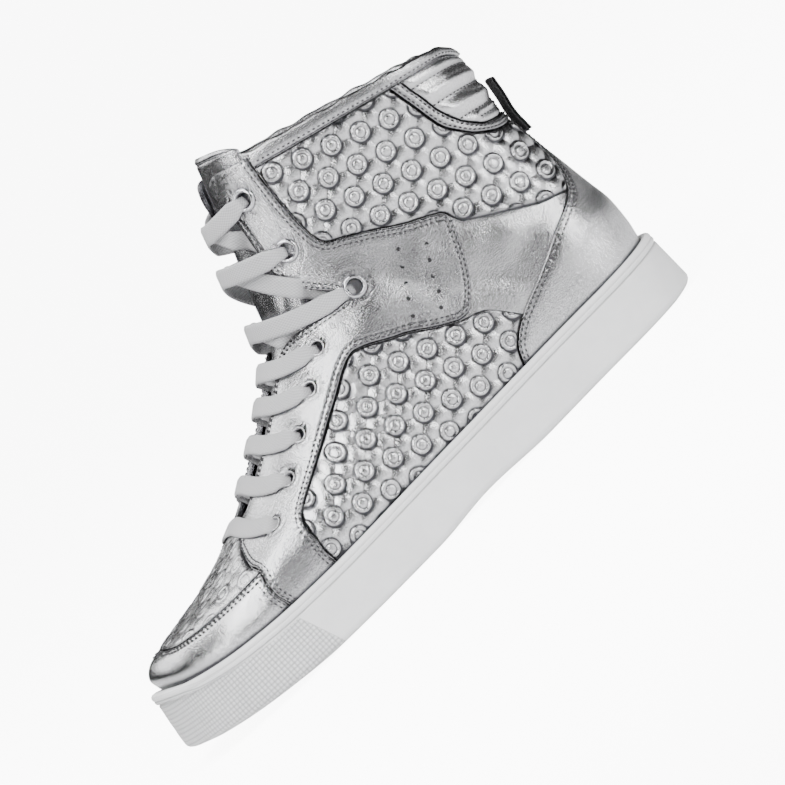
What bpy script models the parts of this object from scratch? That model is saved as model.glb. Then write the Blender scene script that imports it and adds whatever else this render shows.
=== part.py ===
# High-top dance sneaker, left shoe, built round one last
# X runs to the toe, Y to the outer side, Z up, all in metres
import math

import bpy
import bmesh
from mathutils import Matrix, Vector

# Driving sizes
SHOE_LENGTH = 0.267
BALL_WIDTH = 0.093
INSTEP_HEIGHT = 0.073
HEEL_HEIGHT = 0.108
SOLE_HEIGHT = 0.025
TOE_SWING = 0.005

# Layers of the upper, measured from the outer skin of the last
FIT_GAP = 0.0003
WALL = 0.0018
PANEL = 0.0012
PANEL_FACE = 0.0003
PANEL_BACK = PANEL_FACE - PANEL
WALL_FACE = PANEL_BACK - FIT_GAP
WALL_BACK = WALL_FACE - WALL

# Sole
SIDE_WALL = 0.0032
TOE_WALL = 0.0015
TOE_FLARE = 0.0030
TOE_SPREAD = 4
CUP_DEPTH = 0.0125
LIP_HEIGHT = 0.0042
LIP_STEP = 0.0004
EDGE_ROUND = 0.0025
TREAD_DEPTH = 0.0014
TREAD_GAP = 0.0028
TREAD_EDGE = 0.008
INSOLE_THICKNESS = 0.0030
INSOLE_EASE = 0.0022

# Collar, tongue, tab, laces and eyelets
BINDING_THICKNESS = 0.0012
CUFF_BULGE = 0.0027
TONGUE_THICKNESS = 0.0034
TONGUE_CROWN = 0.0024
TONGUE_LIFT = 0.004
TAB_WIDTH = 0.016
TAB_THICKNESS = 0.0012
TAB_EYE = 0.0010
LACE_WIDTH = 0.0072
LACE_THICKNESS = 0.0014
LACE_LIFT = 0.0008
HOLE_WIDTH = 0.0052
RING_WIDTH = 0.0095
RING_BORE = 0.0060
RING_WALL = 0.0006
RING_HEAD = 0.0009

# Where the toe, ball, waist and heel widths are taken, as shares of the length
STATIONS = {"toe": 0.22, "fore": 0.34, "mid": 0.56, "heel": 0.84, "back": 1.0}
BACK_BLUNT = 2.2
TOE_WIDTH_SHARE = 0.985

# Mesh steps
COLUMNS = 32
LINE_STEPS = 2
ROUND_SIDES = 8
FLAT_ANGLE = math.radians(1.2)
MERGE_DISTANCE = 0.000005

# Reach of the cutters past the walls they cut
CUTTER_REACH = 0.09
THROAT_OUT = 0.006
THROAT_IN = 0.008
THROAT_RISE = 0.020
THROAT_TIP = 0.004
HOLE_DEPTH = 0.016

# One row is one ring of the last, from inside the cup to the collar.
# front, back and the reaches are shares of the length, front_rise of the instep
# height, back_rise of the heel height, and the widths of the ball width.
LAST_COLUMNS = (
    "up", "front", "front_rise", "back", "back_rise", "fore_out", "fore_in",
    "mid_out", "mid_in", "heel_out", "heel_in", "toe_reach", "heel_reach", "blunt",
)
LAST = [
    (-0.10, 0.040, -0.14, 0.988, -0.095, 0.485, 0.455, 0.43, 0.35, 0.335, 0.325, 0.178, 0.139, 2.2),
    (0.00, 0.0375, 0.00, 0.990, 0.00, 0.497, 0.468, 0.44, 0.365, 0.345, 0.335, 0.178, 0.139, 2.2),
    (0.06, 0.035, 0.05, 0.996, 0.08, 0.505, 0.478, 0.446, 0.382, 0.355, 0.345, 0.184, 0.142, 2.2),
    (0.12, 0.050, 0.14, 0.999, 0.175, 0.500, 0.478, 0.442, 0.393, 0.355, 0.350, 0.212, 0.146, 2.2),
    (0.18, 0.087, 0.21, 0.995, 0.26, 0.480, 0.465, 0.436, 0.398, 0.350, 0.345, 0.240, 0.150, 2.25),
    (0.28, 0.167, 0.295, 0.990, 0.36, 0.445, 0.445, 0.420, 0.398, 0.340, 0.333, 0.282, 0.154, 2.4),
    (0.40, 0.267, 0.425, 0.984, 0.47, 0.395, 0.400, 0.403, 0.393, 0.328, 0.323, 0.296, 0.157, 2.8),
    (0.53, 0.360, 0.615, 0.979, 0.585, 0.355, 0.360, 0.382, 0.382, 0.317, 0.317, 0.285, 0.161, 3.0),
    (0.65, 0.442, 0.815, 0.975, 0.675, 0.335, 0.335, 0.360, 0.365, 0.317, 0.317, 0.260, 0.165, 2.9),
    (0.74, 0.492, 1.00, 0.977, 0.75, 0.325, 0.325, 0.350, 0.355, 0.323, 0.317, 0.225, 0.168, 2.6),
    (0.83, 0.522, 1.275, 0.981, 0.83, 0.325, 0.325, 0.344, 0.350, 0.333, 0.328, 0.200, 0.171, 2.4),
    (0.92, 0.552, 1.57, 0.986, 0.912, 0.335, 0.335, 0.350, 0.350, 0.344, 0.339, 0.190, 0.171, 2.3),
    (1.00, 0.586, 1.92, 0.984, 1.00, 0.344, 0.344, 0.355, 0.355, 0.350, 0.344, 0.175, 0.168, 2.2),
]

# The sole's side, as shares of its height along the shoe
SOLE_COLUMNS = ("along", "top", "bottom")
SOLE_EDGE = [
    (0.00, 1.46, 0.36),
    (0.02, 1.39, 0.34),
    (0.04, 1.31, 0.30),
    (0.06, 1.215, 0.235),
    (0.15, 1.05, 0.09),
    (0.24, 0.985, 0.01),
    (0.32, 0.97, 0.0),
    (0.44, 0.985, 0.0),
    (0.55, 0.995, 0.07),
    (0.68, 1.00, 0.0),
    (0.94, 1.005, 0.0),
    (1.00, 1.02, 0.03),
]

# Panel lines on the chart of the last: turn from toe (0) to heel (1), up from
# the feather edge (0) to the collar (1). Both sides of the shoe share them.
FRONT_LINE = [
    (0.295, -0.04), (0.290, 0.06), (0.275, 0.14), (0.262, 0.175), (0.240, 0.21),
    (0.170, 0.295), (0.115, 0.345), (0.075, 0.380), (0.045, 0.400), (0.0, 0.405),
]
TOE_LINE = [
    (0.0, 0.165), (0.050, 0.155), (0.100, 0.150), (0.160, 0.155), (0.215, 0.165), (0.262, 0.175),
]
TOE_GAP_SHARE = 0.006
EYE_LOWER = [
    (0.365, -0.04), (0.360, 0.10), (0.340, 0.18), (0.322, 0.24), (0.318, 0.29), (0.320, 0.37),
    (0.328, 0.43), (0.342, 0.475), (0.355, 0.515), (0.372, 0.530), (0.392, 0.520),
    (0.425, 0.490), (0.465, 0.445), (0.510, 0.390), (0.560, 0.310), (0.600, 0.245),
]
WING_END = [
    (0.600, 0.245), (0.617, 0.238), (0.626, 0.280), (0.631, 0.340), (0.632, 0.420),
    (0.632, 0.500), (0.628, 0.560), (0.610, 0.600),
]
EYE_REAR = [
    (0.610, 0.600), (0.580, 0.635), (0.525, 0.685), (0.455, 0.745), (0.390, 0.785),
    (0.350, 0.803), (0.328, 0.825), (0.310, 0.860), (0.282, 0.930), (0.262, 0.985),
]
QUARTER_REAR = [(0.600, 0.245), (0.635, 0.200), (0.655, 0.155), (0.675, 0.103)]
COUNTER_LINE = [
    (0.640, -0.04), (0.645, 0.040), (0.655, 0.075), (0.675, 0.103), (0.715, 0.136),
    (0.750, 0.165), (0.790, 0.198), (0.835, 0.225), (0.865, 0.252), (0.888, 0.290),
    (0.910, 0.340), (0.925, 0.400), (0.928, 0.490), (0.920, 0.560), (0.913, 0.598),
]
ANKLE_LOWER = [
    (0.628, 0.560), (0.648, 0.505), (0.675, 0.465), (0.715, 0.408), (0.760, 0.344),
    (0.800, 0.292), (0.858, 0.245),
]
STRIP_OUTER = [
    (0.630, 0.966), (0.645, 0.930), (0.660, 0.890), (0.675, 0.850), (0.695, 0.800),
    (0.725, 0.755), (0.765, 0.700), (0.825, 0.640), (0.870, 0.610), (0.913, 0.598), (1.0, 0.598),
]
STRIP_INNER = [
    (0.663, 0.964), (0.670, 0.945), (0.685, 0.905), (0.705, 0.850), (0.735, 0.790),
    (0.770, 0.740), (0.815, 0.690), (0.870, 0.660), (0.913, 0.650), (1.0, 0.648),
]
SEAM_LINE = [(0.262, 0.985), (0.400, 0.980), (0.600, 0.968), (0.800, 0.960), (1.0, 0.956)]
NOTCH = [
    (0.060, 0.700), (0.110, 0.715), (0.170, 0.720), (0.250, 0.705), (0.315, 0.690),
    (0.352, 0.683), (0.305, 0.730), (0.245, 0.772), (0.200, 0.797), (0.120, 0.800), (0.060, 0.780),
]
THROAT_COLUMNS = ("up", "half_turn")
THROAT = [
    (0.418, 0.0), (0.430, 0.026), (0.460, 0.046), (0.530, 0.058), (0.620, 0.064), (0.700, 0.080),
    (0.740, 0.115), (0.795, 0.185), (0.830, 0.178), (0.875, 0.160), (0.920, 0.140),
    (0.950, 0.115), (0.975, 0.090), (1.000, 0.115),
]
SEAM_GAP_SHARE = 0.009
RIB_VALLEYS = [0.648, 0.738, 0.835, 0.918, 0.975]

# Eyelet places on the chart, from the top row down
RING_PLACES = [(0.200, 0.945), (0.250, 0.842), (0.380, 0.680)]
HOLE_PLACES = [(0.260, 0.645), (0.248, 0.570), (0.235, 0.488), (0.232, 0.402), (0.240, 0.305)]
CROSS_PLACES = [0.930, 0.865, 0.768, 0.688, 0.625, 0.558, 0.485, 0.410]
CROSS_PAST_TURN = 0.045

# Tread bars, as shares of the length from the toe
TREAD_PLACES = [0.16, 0.20, 0.24, 0.28, 0.42, 0.46, 0.50, 0.70, 0.74, 0.86, 0.90]

# Colours of the materials
SILVER = (0.50, 0.50, 0.52, 1.0)
PALE_SILVER = (0.62, 0.62, 0.64, 1.0)
DARK_SILVER = (0.40, 0.40, 0.42, 1.0)
RUBBER_WHITE = (0.78, 0.79, 0.80, 1.0)
LINING_GREY = (0.35, 0.35, 0.36, 1.0)
WEBBING_BLACK = (0.02, 0.02, 0.02, 1.0)
LACE_GREY = (0.60, 0.60, 0.62, 1.0)
STEEL = (0.55, 0.55, 0.56, 1.0)


# Reading the tables
def slope(rows, place, key, value):
    last = len(rows) - 1
    if place == 0 or place == last:
        near = min(place, last - 1)
        run = rows[near + 1][key] - rows[near][key]
        return (rows[near + 1][value] - rows[near][value]) / run
    before = rows[place][key] - rows[place - 1][key]
    after = rows[place + 1][key] - rows[place][key]
    rise_before = (rows[place][value] - rows[place - 1][value]) / before
    rise_after = (rows[place + 1][value] - rows[place][value]) / after
    if rise_before * rise_after <= 0:
        return 0.0
    weight_before = 2 * after + before
    weight_after = after + 2 * before
    total = weight_before + weight_after
    return total / (weight_before / rise_before + weight_after / rise_after)


def read(rows, at, value, key=0):
    if at <= rows[0][key]:
        return rows[0][value]
    if at >= rows[-1][key]:
        return rows[-1][value]
    place = 0
    while rows[place + 1][key] < at:
        place += 1
    low = rows[place]
    high = rows[place + 1]
    span = high[key] - low[key]
    share = (at - low[key]) / span
    rest = 1 - share
    start = slope(rows, place, key, value) * span
    finish = slope(rows, place + 1, key, value) * span
    ends = low[value] * (1 + 2 * share) * rest ** 2 + high[value] * share ** 2 * (3 - 2 * share)
    return ends + start * share * rest ** 2 - finish * share ** 2 * rest


# The sole's edge and the last
def sole_top(along):
    return SOLE_HEIGHT * read(SOLE_EDGE, along / SHOE_LENGTH, SOLE_COLUMNS.index("top"))


def sole_bottom(along):
    return SOLE_HEIGHT * read(SOLE_EDGE, along / SHOE_LENGTH, SOLE_COLUMNS.index("bottom"))


def round_end(distance, reach, blunt):
    if distance >= reach:
        return 1.0
    inside = max(0.0, 1 - (1 - max(0.0, distance) / reach) ** blunt)
    return inside ** (1 / blunt)


ROW_STORE = {}


def last_row(up):
    if up not in ROW_STORE:
        ROW_STORE[up] = {name: read(LAST, up, place) for place, name in enumerate(LAST_COLUMNS)}
    return ROW_STORE[up]


def half_width(row, along, side):
    way = "out" if side > 0 else "in"
    fore = row["fore_" + way]
    widths = [
        (STATIONS["toe"], fore * TOE_WIDTH_SHARE),
        (STATIONS["fore"], fore),
        (STATIONS["mid"], row["mid_" + way]),
        (STATIONS["heel"], row["heel_" + way]),
        (STATIONS["back"], row["heel_" + way]),
    ]
    return BALL_WIDTH * read(widths, along / SHOE_LENGTH, 1)


def toe_swing(along):
    ahead = max(0.0, 1 - along / SHOE_LENGTH / STATIONS["fore"])
    return -TOE_SWING * ahead ** 2


def last_point(up, turn):
    """A point on the outer skin: turn 0 is the toe, 1 the heel, minus is the inner side."""
    row = last_row(up)
    side = 1 if turn >= 0 else -1
    share = (1 - math.cos(math.pi * turn)) / 2
    front = row["front"] * SHOE_LENGTH
    back = row["back"] * SHOE_LENGTH
    along = front + (back - front) * share
    across = side * half_width(row, along, side)
    across *= round_end(along - front, row["toe_reach"] * SHOE_LENGTH, row["blunt"])
    across *= round_end(back - along, row["heel_reach"] * SHOE_LENGTH, BACK_BLUNT)
    across += toe_swing(along)
    front_rise = row["front_rise"] * INSTEP_HEIGHT
    back_rise = row["back_rise"] * HEEL_HEIGHT
    height = sole_top(along) + front_rise * (1 - share) + back_rise * share
    return Vector((SHOE_LENGTH / 2 - along, across, height))


TURN_STEP = 0.004
UP_STEP = 0.004


def last_normal(up, turn):
    higher = min(1.0, up + UP_STEP)
    lower = max(LAST[0][0], up - UP_STEP)
    climb = last_point(higher, turn) - last_point(lower, turn)
    ahead = last_point(up, wrap_turn(turn + TURN_STEP)) - last_point(up, wrap_turn(turn - TURN_STEP))
    normal = ahead.cross(climb)
    normal.normalize()
    return normal if ahead.length > 0 else Vector((1, 0, 0))


def wrap_turn(turn):
    if turn > 1:
        return turn - 2
    if turn < -1:
        return turn + 2
    return turn


SKIN_STORE = {}


def skin(up, turn, out):
    """The last's skin moved outward by out. Above the collar it runs on in the same lean."""
    at = (min(up, 1.0), turn)
    if at not in SKIN_STORE:
        SKIN_STORE[at] = (last_point(*at), last_normal(*at))
    place, normal = SKIN_STORE[at]
    return place + normal * out


def lean(turn):
    """The direction in which the wall runs at the collar."""
    way = last_point(1.0, turn) - last_point(0.96, turn)
    return way.normalized()


# Mesh helpers
def new_object(name, points, faces, collection):
    mesh = bpy.data.meshes.new(name)
    mesh.from_pydata([tuple(point) for point in points], [], faces)
    mesh.validate()
    work = bmesh.new()
    work.from_mesh(mesh)
    bmesh.ops.recalc_face_normals(work, faces=work.faces)
    work.to_mesh(mesh)
    work.free()
    made = bpy.data.objects.new(name, mesh)
    collection.objects.link(made)
    return made


def loft(rings, closed_ring, closed_way):
    """Quads between rings of equal count, ends filled when the way is open."""
    count = len(rings[0])
    points = [point for ring in rings for point in ring]
    faces = []
    ways = len(rings) if closed_way else len(rings) - 1
    steps = count if closed_ring else count - 1
    for way in range(ways):
        here = way * count
        there = ((way + 1) % len(rings)) * count
        for step in range(steps):
            after = (step + 1) % count
            faces.append((here + step, here + after, there + after, there + step))
    return points, faces


def closed_loft(name, rings, collection):
    """Closed rings in a row, with a flat cap at each end."""
    points, faces = loft(rings, True, False)
    count = len(rings[0])
    last = (len(rings) - 1) * count
    faces.append(tuple(range(count)))
    faces.append(tuple(last + step for step in range(count)))
    return new_object(name, points, faces, collection)


def ring_loft(name, rings, collection):
    """Closed rings that come back to the first one, such as a tube or a band."""
    points, faces = loft(rings, True, True)
    return new_object(name, points, faces, collection)


def column_turns():
    return [wrap_turn(-1 + 2 * place / COLUMNS) for place in range(COLUMNS)]


def shell(name, ups, inner, outer, collection, low_line=None, high_line=None):
    """The last between two skins: a tube with a real wall. Each skin is a function.
    A line takes the place of the lowest or highest row where the edge isn't level."""
    rows = [{turn: up for turn in column_turns()} for up in ups]
    if low_line:
        rows[0] = {turn: low_line(turn) for turn in column_turns()}
    if high_line:
        rows[-1] = {turn: high_line(turn) for turn in column_turns()}
    rings = []
    for row in rows:
        rings.append([skin(row[turn], turn, outer(row[turn], turn)) for turn in column_turns()])
    for row in reversed(rows):
        rings.append([skin(row[turn], turn, inner(row[turn], turn)) for turn in column_turns()])
    points, quads = loft(rings, True, True)
    halves = []
    for place, (a, b, c, d) in enumerate(quads):
        climbs = place < (len(ups) - 1) * COLUMNS
        halves += [(a, b, c), (a, c, d)] if climbs else [(b, c, d), (b, d, a)]
    return new_object(name, points, halves, collection)


def even(value):
    return lambda up, turn: value


# Outlines on the chart and the prisms cut from them
def smooth_line(rows, steps=LINE_STEPS):
    """A soft line through the rows of a table."""
    line = []
    for place in range(len(rows) - 1):
        before = rows[max(0, place - 1)]
        start = rows[place]
        finish = rows[place + 1]
        after = rows[min(len(rows) - 1, place + 2)]
        for step in range(steps):
            share = step / steps
            line.append(tuple(
                blend(before[axis], start[axis], finish[axis], after[axis], share) for axis in (0, 1)
            ))
    line.append(tuple(rows[-1]))
    return line


def blend(before, start, finish, after, share):
    lead = (finish - before) / 2
    trail = (after - start) / 2
    rest = 1 - share
    ends = start * (1 + 2 * share) * rest ** 2 + finish * share ** 2 * (3 - 2 * share)
    return ends + lead * share * rest ** 2 - trail * share ** 2 * rest


def side_place(turn, up):
    """A chart place seen from the side. Past 0 and 1 it stands off the front or back."""
    held = min(1.0, max(0.0, turn))
    place = last_point(min(1.0, up), held)
    flat = Vector((place.x, place.z))
    if turn < 0:
        normal = last_normal(min(1.0, up), 0.0)
        flat += Vector((normal.x, normal.z)).normalized() * (-turn * SHOE_LENGTH)
    if turn > 1:
        flat += Vector((-1.0, 0.0)) * ((turn - 1) * SHOE_LENGTH)
    if up > 1:
        flat += Vector((0.0, 1.0)) * ((up - 1) * SHOE_LENGTH)
    return flat


def shrink(outline, gap):
    """Move a closed side outline inward by the gap."""
    area = 0.0
    for place, point in enumerate(outline):
        after = outline[(place + 1) % len(outline)]
        area += point.x * after.y - after.x * point.y
    way = 1 if area > 0 else -1
    moved = []
    for place, point in enumerate(outline):
        before = (point - outline[place - 1]).normalized()
        after = (outline[(place + 1) % len(outline)] - point).normalized()
        bisector = (Vector((-before.y, before.x)) + Vector((-after.y, after.x))) * way
        if bisector.length < 0.2:
            moved.append(point)
            continue
        bisector.normalize()
        lean_share = max(0.5, bisector.dot(Vector((-before.y, before.x)) * way))
        moved.append(point + bisector * (gap / lean_share))
    return moved


def thin_out(outline, least):
    kept = []
    for point in outline:
        if not kept or (point - kept[-1]).length > least:
            kept.append(point)
    if (kept[0] - kept[-1]).length <= least:
        kept.pop()
    return kept


def prism(name, chart_outline, low, high, collection, gap=FIT_GAP / 2):
    """A block across the shoe with the outline seen from the side."""
    outline = [side_place(turn, up) for turn, up in chart_outline]
    outline = shrink(thin_out(outline, FIT_GAP), gap)
    rings = []
    for across in (low, high):
        rings.append([Vector((point.x, across, point.y)) for point in outline])
    return closed_loft(name, rings, collection)


def cut(body, tool, operation):
    step = body.modifiers.new(operation.title(), "BOOLEAN")
    step.operation = operation
    step.solver = "EXACT"
    step.object = tool
    bpy.context.view_layer.update()
    graph = bpy.context.evaluated_depsgraph_get()
    shaped = bpy.data.meshes.new_from_object(body.evaluated_get(graph))
    body.modifiers.clear()
    old = body.data
    body.data = shaped
    bpy.data.meshes.remove(old)
    tidy(body)


def tidy(body):
    work = bmesh.new()
    work.from_mesh(body.data)
    bmesh.ops.remove_doubles(work, verts=work.verts, dist=MERGE_DISTANCE)
    bmesh.ops.dissolve_degenerate(work, dist=MERGE_DISTANCE, edges=work.edges)
    bmesh.ops.dissolve_limit(
        work, angle_limit=FLAT_ANGLE, verts=work.verts, edges=work.edges, delimit=set(),
    )
    bmesh.ops.triangulate(work, faces=work.faces)
    bmesh.ops.recalc_face_normals(work, faces=work.faces)
    work.to_mesh(body.data)
    work.free()


def keep_largest(body):
    """Drop the small chips that a cut can leave, and keep the panel itself."""
    work = bmesh.new()
    work.from_mesh(body.data)
    work.verts.ensure_lookup_table()
    groups = []
    seen = set()
    for start in work.verts:
        if start.index in seen:
            continue
        group = [start]
        seen.add(start.index)
        for vert in group:
            for edge in vert.link_edges:
                other = edge.other_vert(vert)
                if other.index not in seen:
                    seen.add(other.index)
                    group.append(other)
        groups.append(group)
    groups.sort(key=len, reverse=True)
    for group in groups[1:]:
        bmesh.ops.delete(work, geom=group, context="VERTS")
    work.to_mesh(body.data)
    work.free()


# Materials
MATERIALS = {}


def material(slot, colour, roughness, metallic):
    if slot not in MATERIALS:
        made = bpy.data.materials.new(slot)
        made.use_nodes = True
        shader = made.node_tree.nodes["Principled BSDF"]
        shader.inputs["Base Color"].default_value = colour
        shader.inputs["Roughness"].default_value = roughness
        shader.inputs["Metallic"].default_value = metallic
        MATERIALS[slot] = made
    return MATERIALS[slot]


def paint(body, slot, colour, roughness, metallic):
    body.data.materials.clear()
    name = body.name + "_" + slot
    body.data.materials.append(material(name, colour, roughness, metallic))


# Start clean
for old in list(bpy.data.objects):
    bpy.data.objects.remove(old, do_unlink=True)
shoe = bpy.data.collections.new("dance_sneaker")
tools = bpy.data.collections.new("cutters")
bpy.context.scene.collection.children.link(shoe)
bpy.context.scene.collection.children.link(tools)

WALL_ROWS = [-0.08, 0.0, 0.06, 0.12, 0.18, 0.28, 0.40, 0.53, 0.65, 0.74, 0.83, 0.92, 1.0]
PANEL_ROWS = [-0.03] + WALL_ROWS[1:]


# Cutters for the throat, the notch and the holes
def throat_plug():
    ups = [0.418, 0.430, 0.460, 0.495, 0.53, 0.59, 0.65, 0.70, 0.74, 0.795, 0.83, 0.875, 0.92,
           0.95, 0.975, 1.0]
    rings = []
    for up in ups:
        half = max(THROAT_TIP, read(THROAT, up, 1))
        turns = [half * step / 3 for step in range(-3, 4)]
        outer = [skin(up, turn, THROAT_OUT) for turn in turns]
        inner = [skin(up, turn, -THROAT_IN) for turn in reversed(turns)]
        rings.append(outer + inner)
    way = lean(0.0) * THROAT_RISE
    rings.append([point + way for point in rings[-1]])
    return closed_loft("throat_plug", rings, tools)


def hole_cutter(name, turn, up, width, sides=ROUND_SIDES):
    middle = skin(up, turn, 0.0)
    normal = last_normal(up, turn)
    bpy.ops.mesh.primitive_cylinder_add(vertices=sides, radius=width / 2, depth=HOLE_DEPTH)
    made = bpy.context.active_object
    made.name = name
    made.rotation_mode = "QUATERNION"
    made.rotation_quaternion = normal.to_track_quat("Z", "X")
    made.location = middle
    bpy.ops.object.transform_apply(location=True, rotation=True, scale=True)
    for home in list(made.users_collection):
        home.objects.unlink(made)
    tools.objects.link(made)
    return made


throat_cutter = throat_plug()
notch_cutter = prism("notch", smooth_line(NOTCH + [NOTCH[0]])[:-1], -CUTTER_REACH, CUTTER_REACH, tools, 0)
hole_cutters = []
for side_name, side in (("outer", 1), ("inner", -1)):
    for row, (turn, up) in enumerate(RING_PLACES):
        width = RING_BORE + 2 * RING_WALL + 2 * FIT_GAP
        hole_cutters.append(hole_cutter(f"ring_hole_{side_name}_{row}", side * turn, up, width))
    for row, (turn, up) in enumerate(HOLE_PLACES):
        hole_cutters.append(hole_cutter(f"lace_hole_{side_name}_{row}", side * turn, up, HOLE_WIDTH, 6))


# The upper: one hollow wall, open underneath, at the throat and at the collar
upper = shell("upper", WALL_ROWS, even(WALL_BACK), even(WALL_FACE), shoe)
cut(upper, throat_cutter, "DIFFERENCE")
cut(upper, notch_cutter, "DIFFERENCE")
for tool in hole_cutters:
    cut(upper, tool, "DIFFERENCE")
keep_largest(upper)
paint(upper, "leather", SILVER, 0.35, 0.6)


# Panels: the layer over the wall, cut by outlines on the chart. The outlines run on
# past the toe, the heel and the collar, where there is nothing left to cut.
PAST_TOE = -0.06
PAST_HEEL = 1.06
PAST_TOP = 1.02
BELOW = -0.04
RAND_ROWS = [-0.03, 0.0, 0.06, 0.12, 0.16]
VAMP_ROWS = [0.17, 0.20, 0.28, 0.40, 0.53]


def panel(name, outline, low, high, slot, colour, ups=PANEL_ROWS, low_line=None, high_line=None):
    made = shell(name, ups, even(PANEL_BACK), even(PANEL_FACE), shoe, low_line, high_line)
    tool = prism(name + "_outline", outline, low, high, tools)
    cut(made, tool, "INTERSECT")
    paint(made, slot, colour, 0.3, 0.7)
    return made


def part_line(rows, start, finish):
    """The smooth line through the rows from one row's place to another."""
    line = smooth_line(rows)
    first = start * LINE_STEPS
    last = finish * LINE_STEPS
    return line[first:last + 1]


def seam_between(start, finish, steps=8):
    """The seam under the binding, from one turn to another."""
    turns = [start + (finish - start) * step / steps for step in range(steps + 1)]
    return [(turn, read(SEAM_LINE, turn, 1)) for turn in turns]


ahead = [(PAST_TOE, up) for up in (0.405, 0.28, 0.165, BELOW)]
cap_outline = smooth_line(FRONT_LINE) + ahead
eye_lower = smooth_line(EYE_LOWER)
wing_end = smooth_line(WING_END)
eye_rear = smooth_line(EYE_REAR)
eyestay_outline = (
    smooth_line(FRONT_LINE)[::-1] + eye_lower + wing_end[1:] + eye_rear[1:]
    + [(0.255, PAST_TOP)] + [(PAST_TOE, up) for up in (PAST_TOP, 0.83, 0.65, 0.5, 0.405)]
)
counter_to_quarter = part_line(COUNTER_LINE, 0, 3)
quarter_outline = eye_lower + smooth_line(QUARTER_REAR)[1:] + counter_to_quarter[::-1][1:]
counter_outline = smooth_line(COUNTER_LINE) + [(PAST_HEEL, up) for up in (0.598, 0.3, BELOW)]
strip_outer = smooth_line(STRIP_OUTER)
strip_inner = smooth_line(STRIP_INNER)
strip_outline = strip_outer + [(PAST_HEEL, up) for up in (0.598, 0.648)] + strip_inner[::-1]
cuff_top = seam_between(1.0, strip_inner[0][0])[:-1]
cuff_outline = strip_inner + [(PAST_HEEL, up) for up in (0.648, 0.956)] + cuff_top
ankle_outline = (
    eye_rear + seam_between(SEAM_LINE[0][0], STRIP_OUTER[0][0])[1:]
    + part_line(STRIP_OUTER, 0, 9)[1:] + part_line(COUNTER_LINE, 8, 14)[::-1][1:]
    + smooth_line(ANKLE_LOWER)[::-1] + part_line(WING_END, 6, 7)[1:-1]
)

def under_toe_line(turn):
    return read(TOE_LINE, abs(turn), 1) - TOE_GAP_SHARE / 2


def over_toe_line(turn):
    return read(TOE_LINE, abs(turn), 1) + TOE_GAP_SHARE / 2


toe_rand = panel(
    "toe_rand", cap_outline, -CUTTER_REACH, CUTTER_REACH, "leather", PALE_SILVER,
    RAND_ROWS, high_line=under_toe_line,
)
vamp_panel = panel(
    "vamp_panel", cap_outline, -CUTTER_REACH, CUTTER_REACH, "leather", SILVER,
    VAMP_ROWS, low_line=over_toe_line,
)
eyestay = panel("eyestay", eyestay_outline, -CUTTER_REACH, CUTTER_REACH, "leather", SILVER)
cut(eyestay, throat_cutter, "DIFFERENCE")
cut(eyestay, notch_cutter, "DIFFERENCE")
for tool in hole_cutters:
    cut(eyestay, tool, "DIFFERENCE")
heel_counter = panel("heel_counter", counter_outline, -CUTTER_REACH, CUTTER_REACH, "leather", PALE_SILVER)
cuff_strip = panel("cuff_strip", strip_outline, -CUTTER_REACH, CUTTER_REACH, "leather", SILVER)
for side_name, low, high in (("outer", 0.0, CUTTER_REACH), ("inner", -CUTTER_REACH, 0.0)):
    panel("quarter_panel_" + side_name, quarter_outline, low, high, "leather", PALE_SILVER)
    panel("ankle_panel_" + side_name, ankle_outline, low, high, "leather", PALE_SILVER)


# The padded cuff: four ribs round the back of the collar
def cuff_face(up, turn):
    for low, high in zip(RIB_VALLEYS, RIB_VALLEYS[1:]):
        if low <= up <= high:
            share = (up - low) / (high - low)
            return PANEL_FACE + CUFF_BULGE * math.sin(math.pi * share) ** 0.7
    return PANEL_FACE


def cuff_rows():
    rows = [RIB_VALLEYS[0] - 0.03]
    for low, high in zip(RIB_VALLEYS, RIB_VALLEYS[1:]):
        rows += [low, low + (high - low) * 0.28, low + (high - low) * 0.72]
    return rows + [RIB_VALLEYS[-1]]


collar_cuff = shell("collar_cuff", cuff_rows(), even(PANEL_BACK), cuff_face, shoe)
cuff_tool = prism("collar_cuff_outline", cuff_outline, -CUTTER_REACH, CUTTER_REACH, tools)
cut(collar_cuff, cuff_tool, "INTERSECT")
paint(collar_cuff, "leather", PALE_SILVER, 0.3, 0.7)


# The binding: a folded strip over the collar's edge, from one facing round to the other
def binding_ring(turn):
    seam = read(SEAM_LINE, abs(turn), 1) + SEAM_GAP_SHARE
    rise = lean(turn)
    outer = PANEL_FACE + BINDING_THICKNESS / 2
    leg = PANEL_BACK
    inner_leg = WALL_BACK - FIT_GAP
    inner = inner_leg - BINDING_THICKNESS
    crown = FIT_GAP + BINDING_THICKNESS
    return [
        skin(seam, turn, leg),
        skin(seam, turn, outer),
        skin(1.0, turn, outer) + rise * FIT_GAP,
        skin(1.0, turn, (outer + leg) / 2) + rise * crown,
        skin(1.0, turn, (inner + inner_leg) / 2) + rise * crown,
        skin(1.0, turn, inner) + rise * FIT_GAP,
        skin(seam, turn, inner),
        skin(seam, turn, inner_leg),
        skin(1.0, turn, inner_leg) + rise * FIT_GAP,
        skin(1.0, turn, leg) + rise * FIT_GAP,
    ]


def binding_turns():
    start = SEAM_LINE[0][0] + 0.01
    steps = 22
    return [wrap_turn(start + (2 - 2 * start) * step / steps) for step in range(steps + 1)]


collar_binding = closed_loft("collar_binding", [binding_ring(turn) for turn in binding_turns()], shoe)
paint(collar_binding, "leather", SILVER, 0.4, 0.5)


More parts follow.
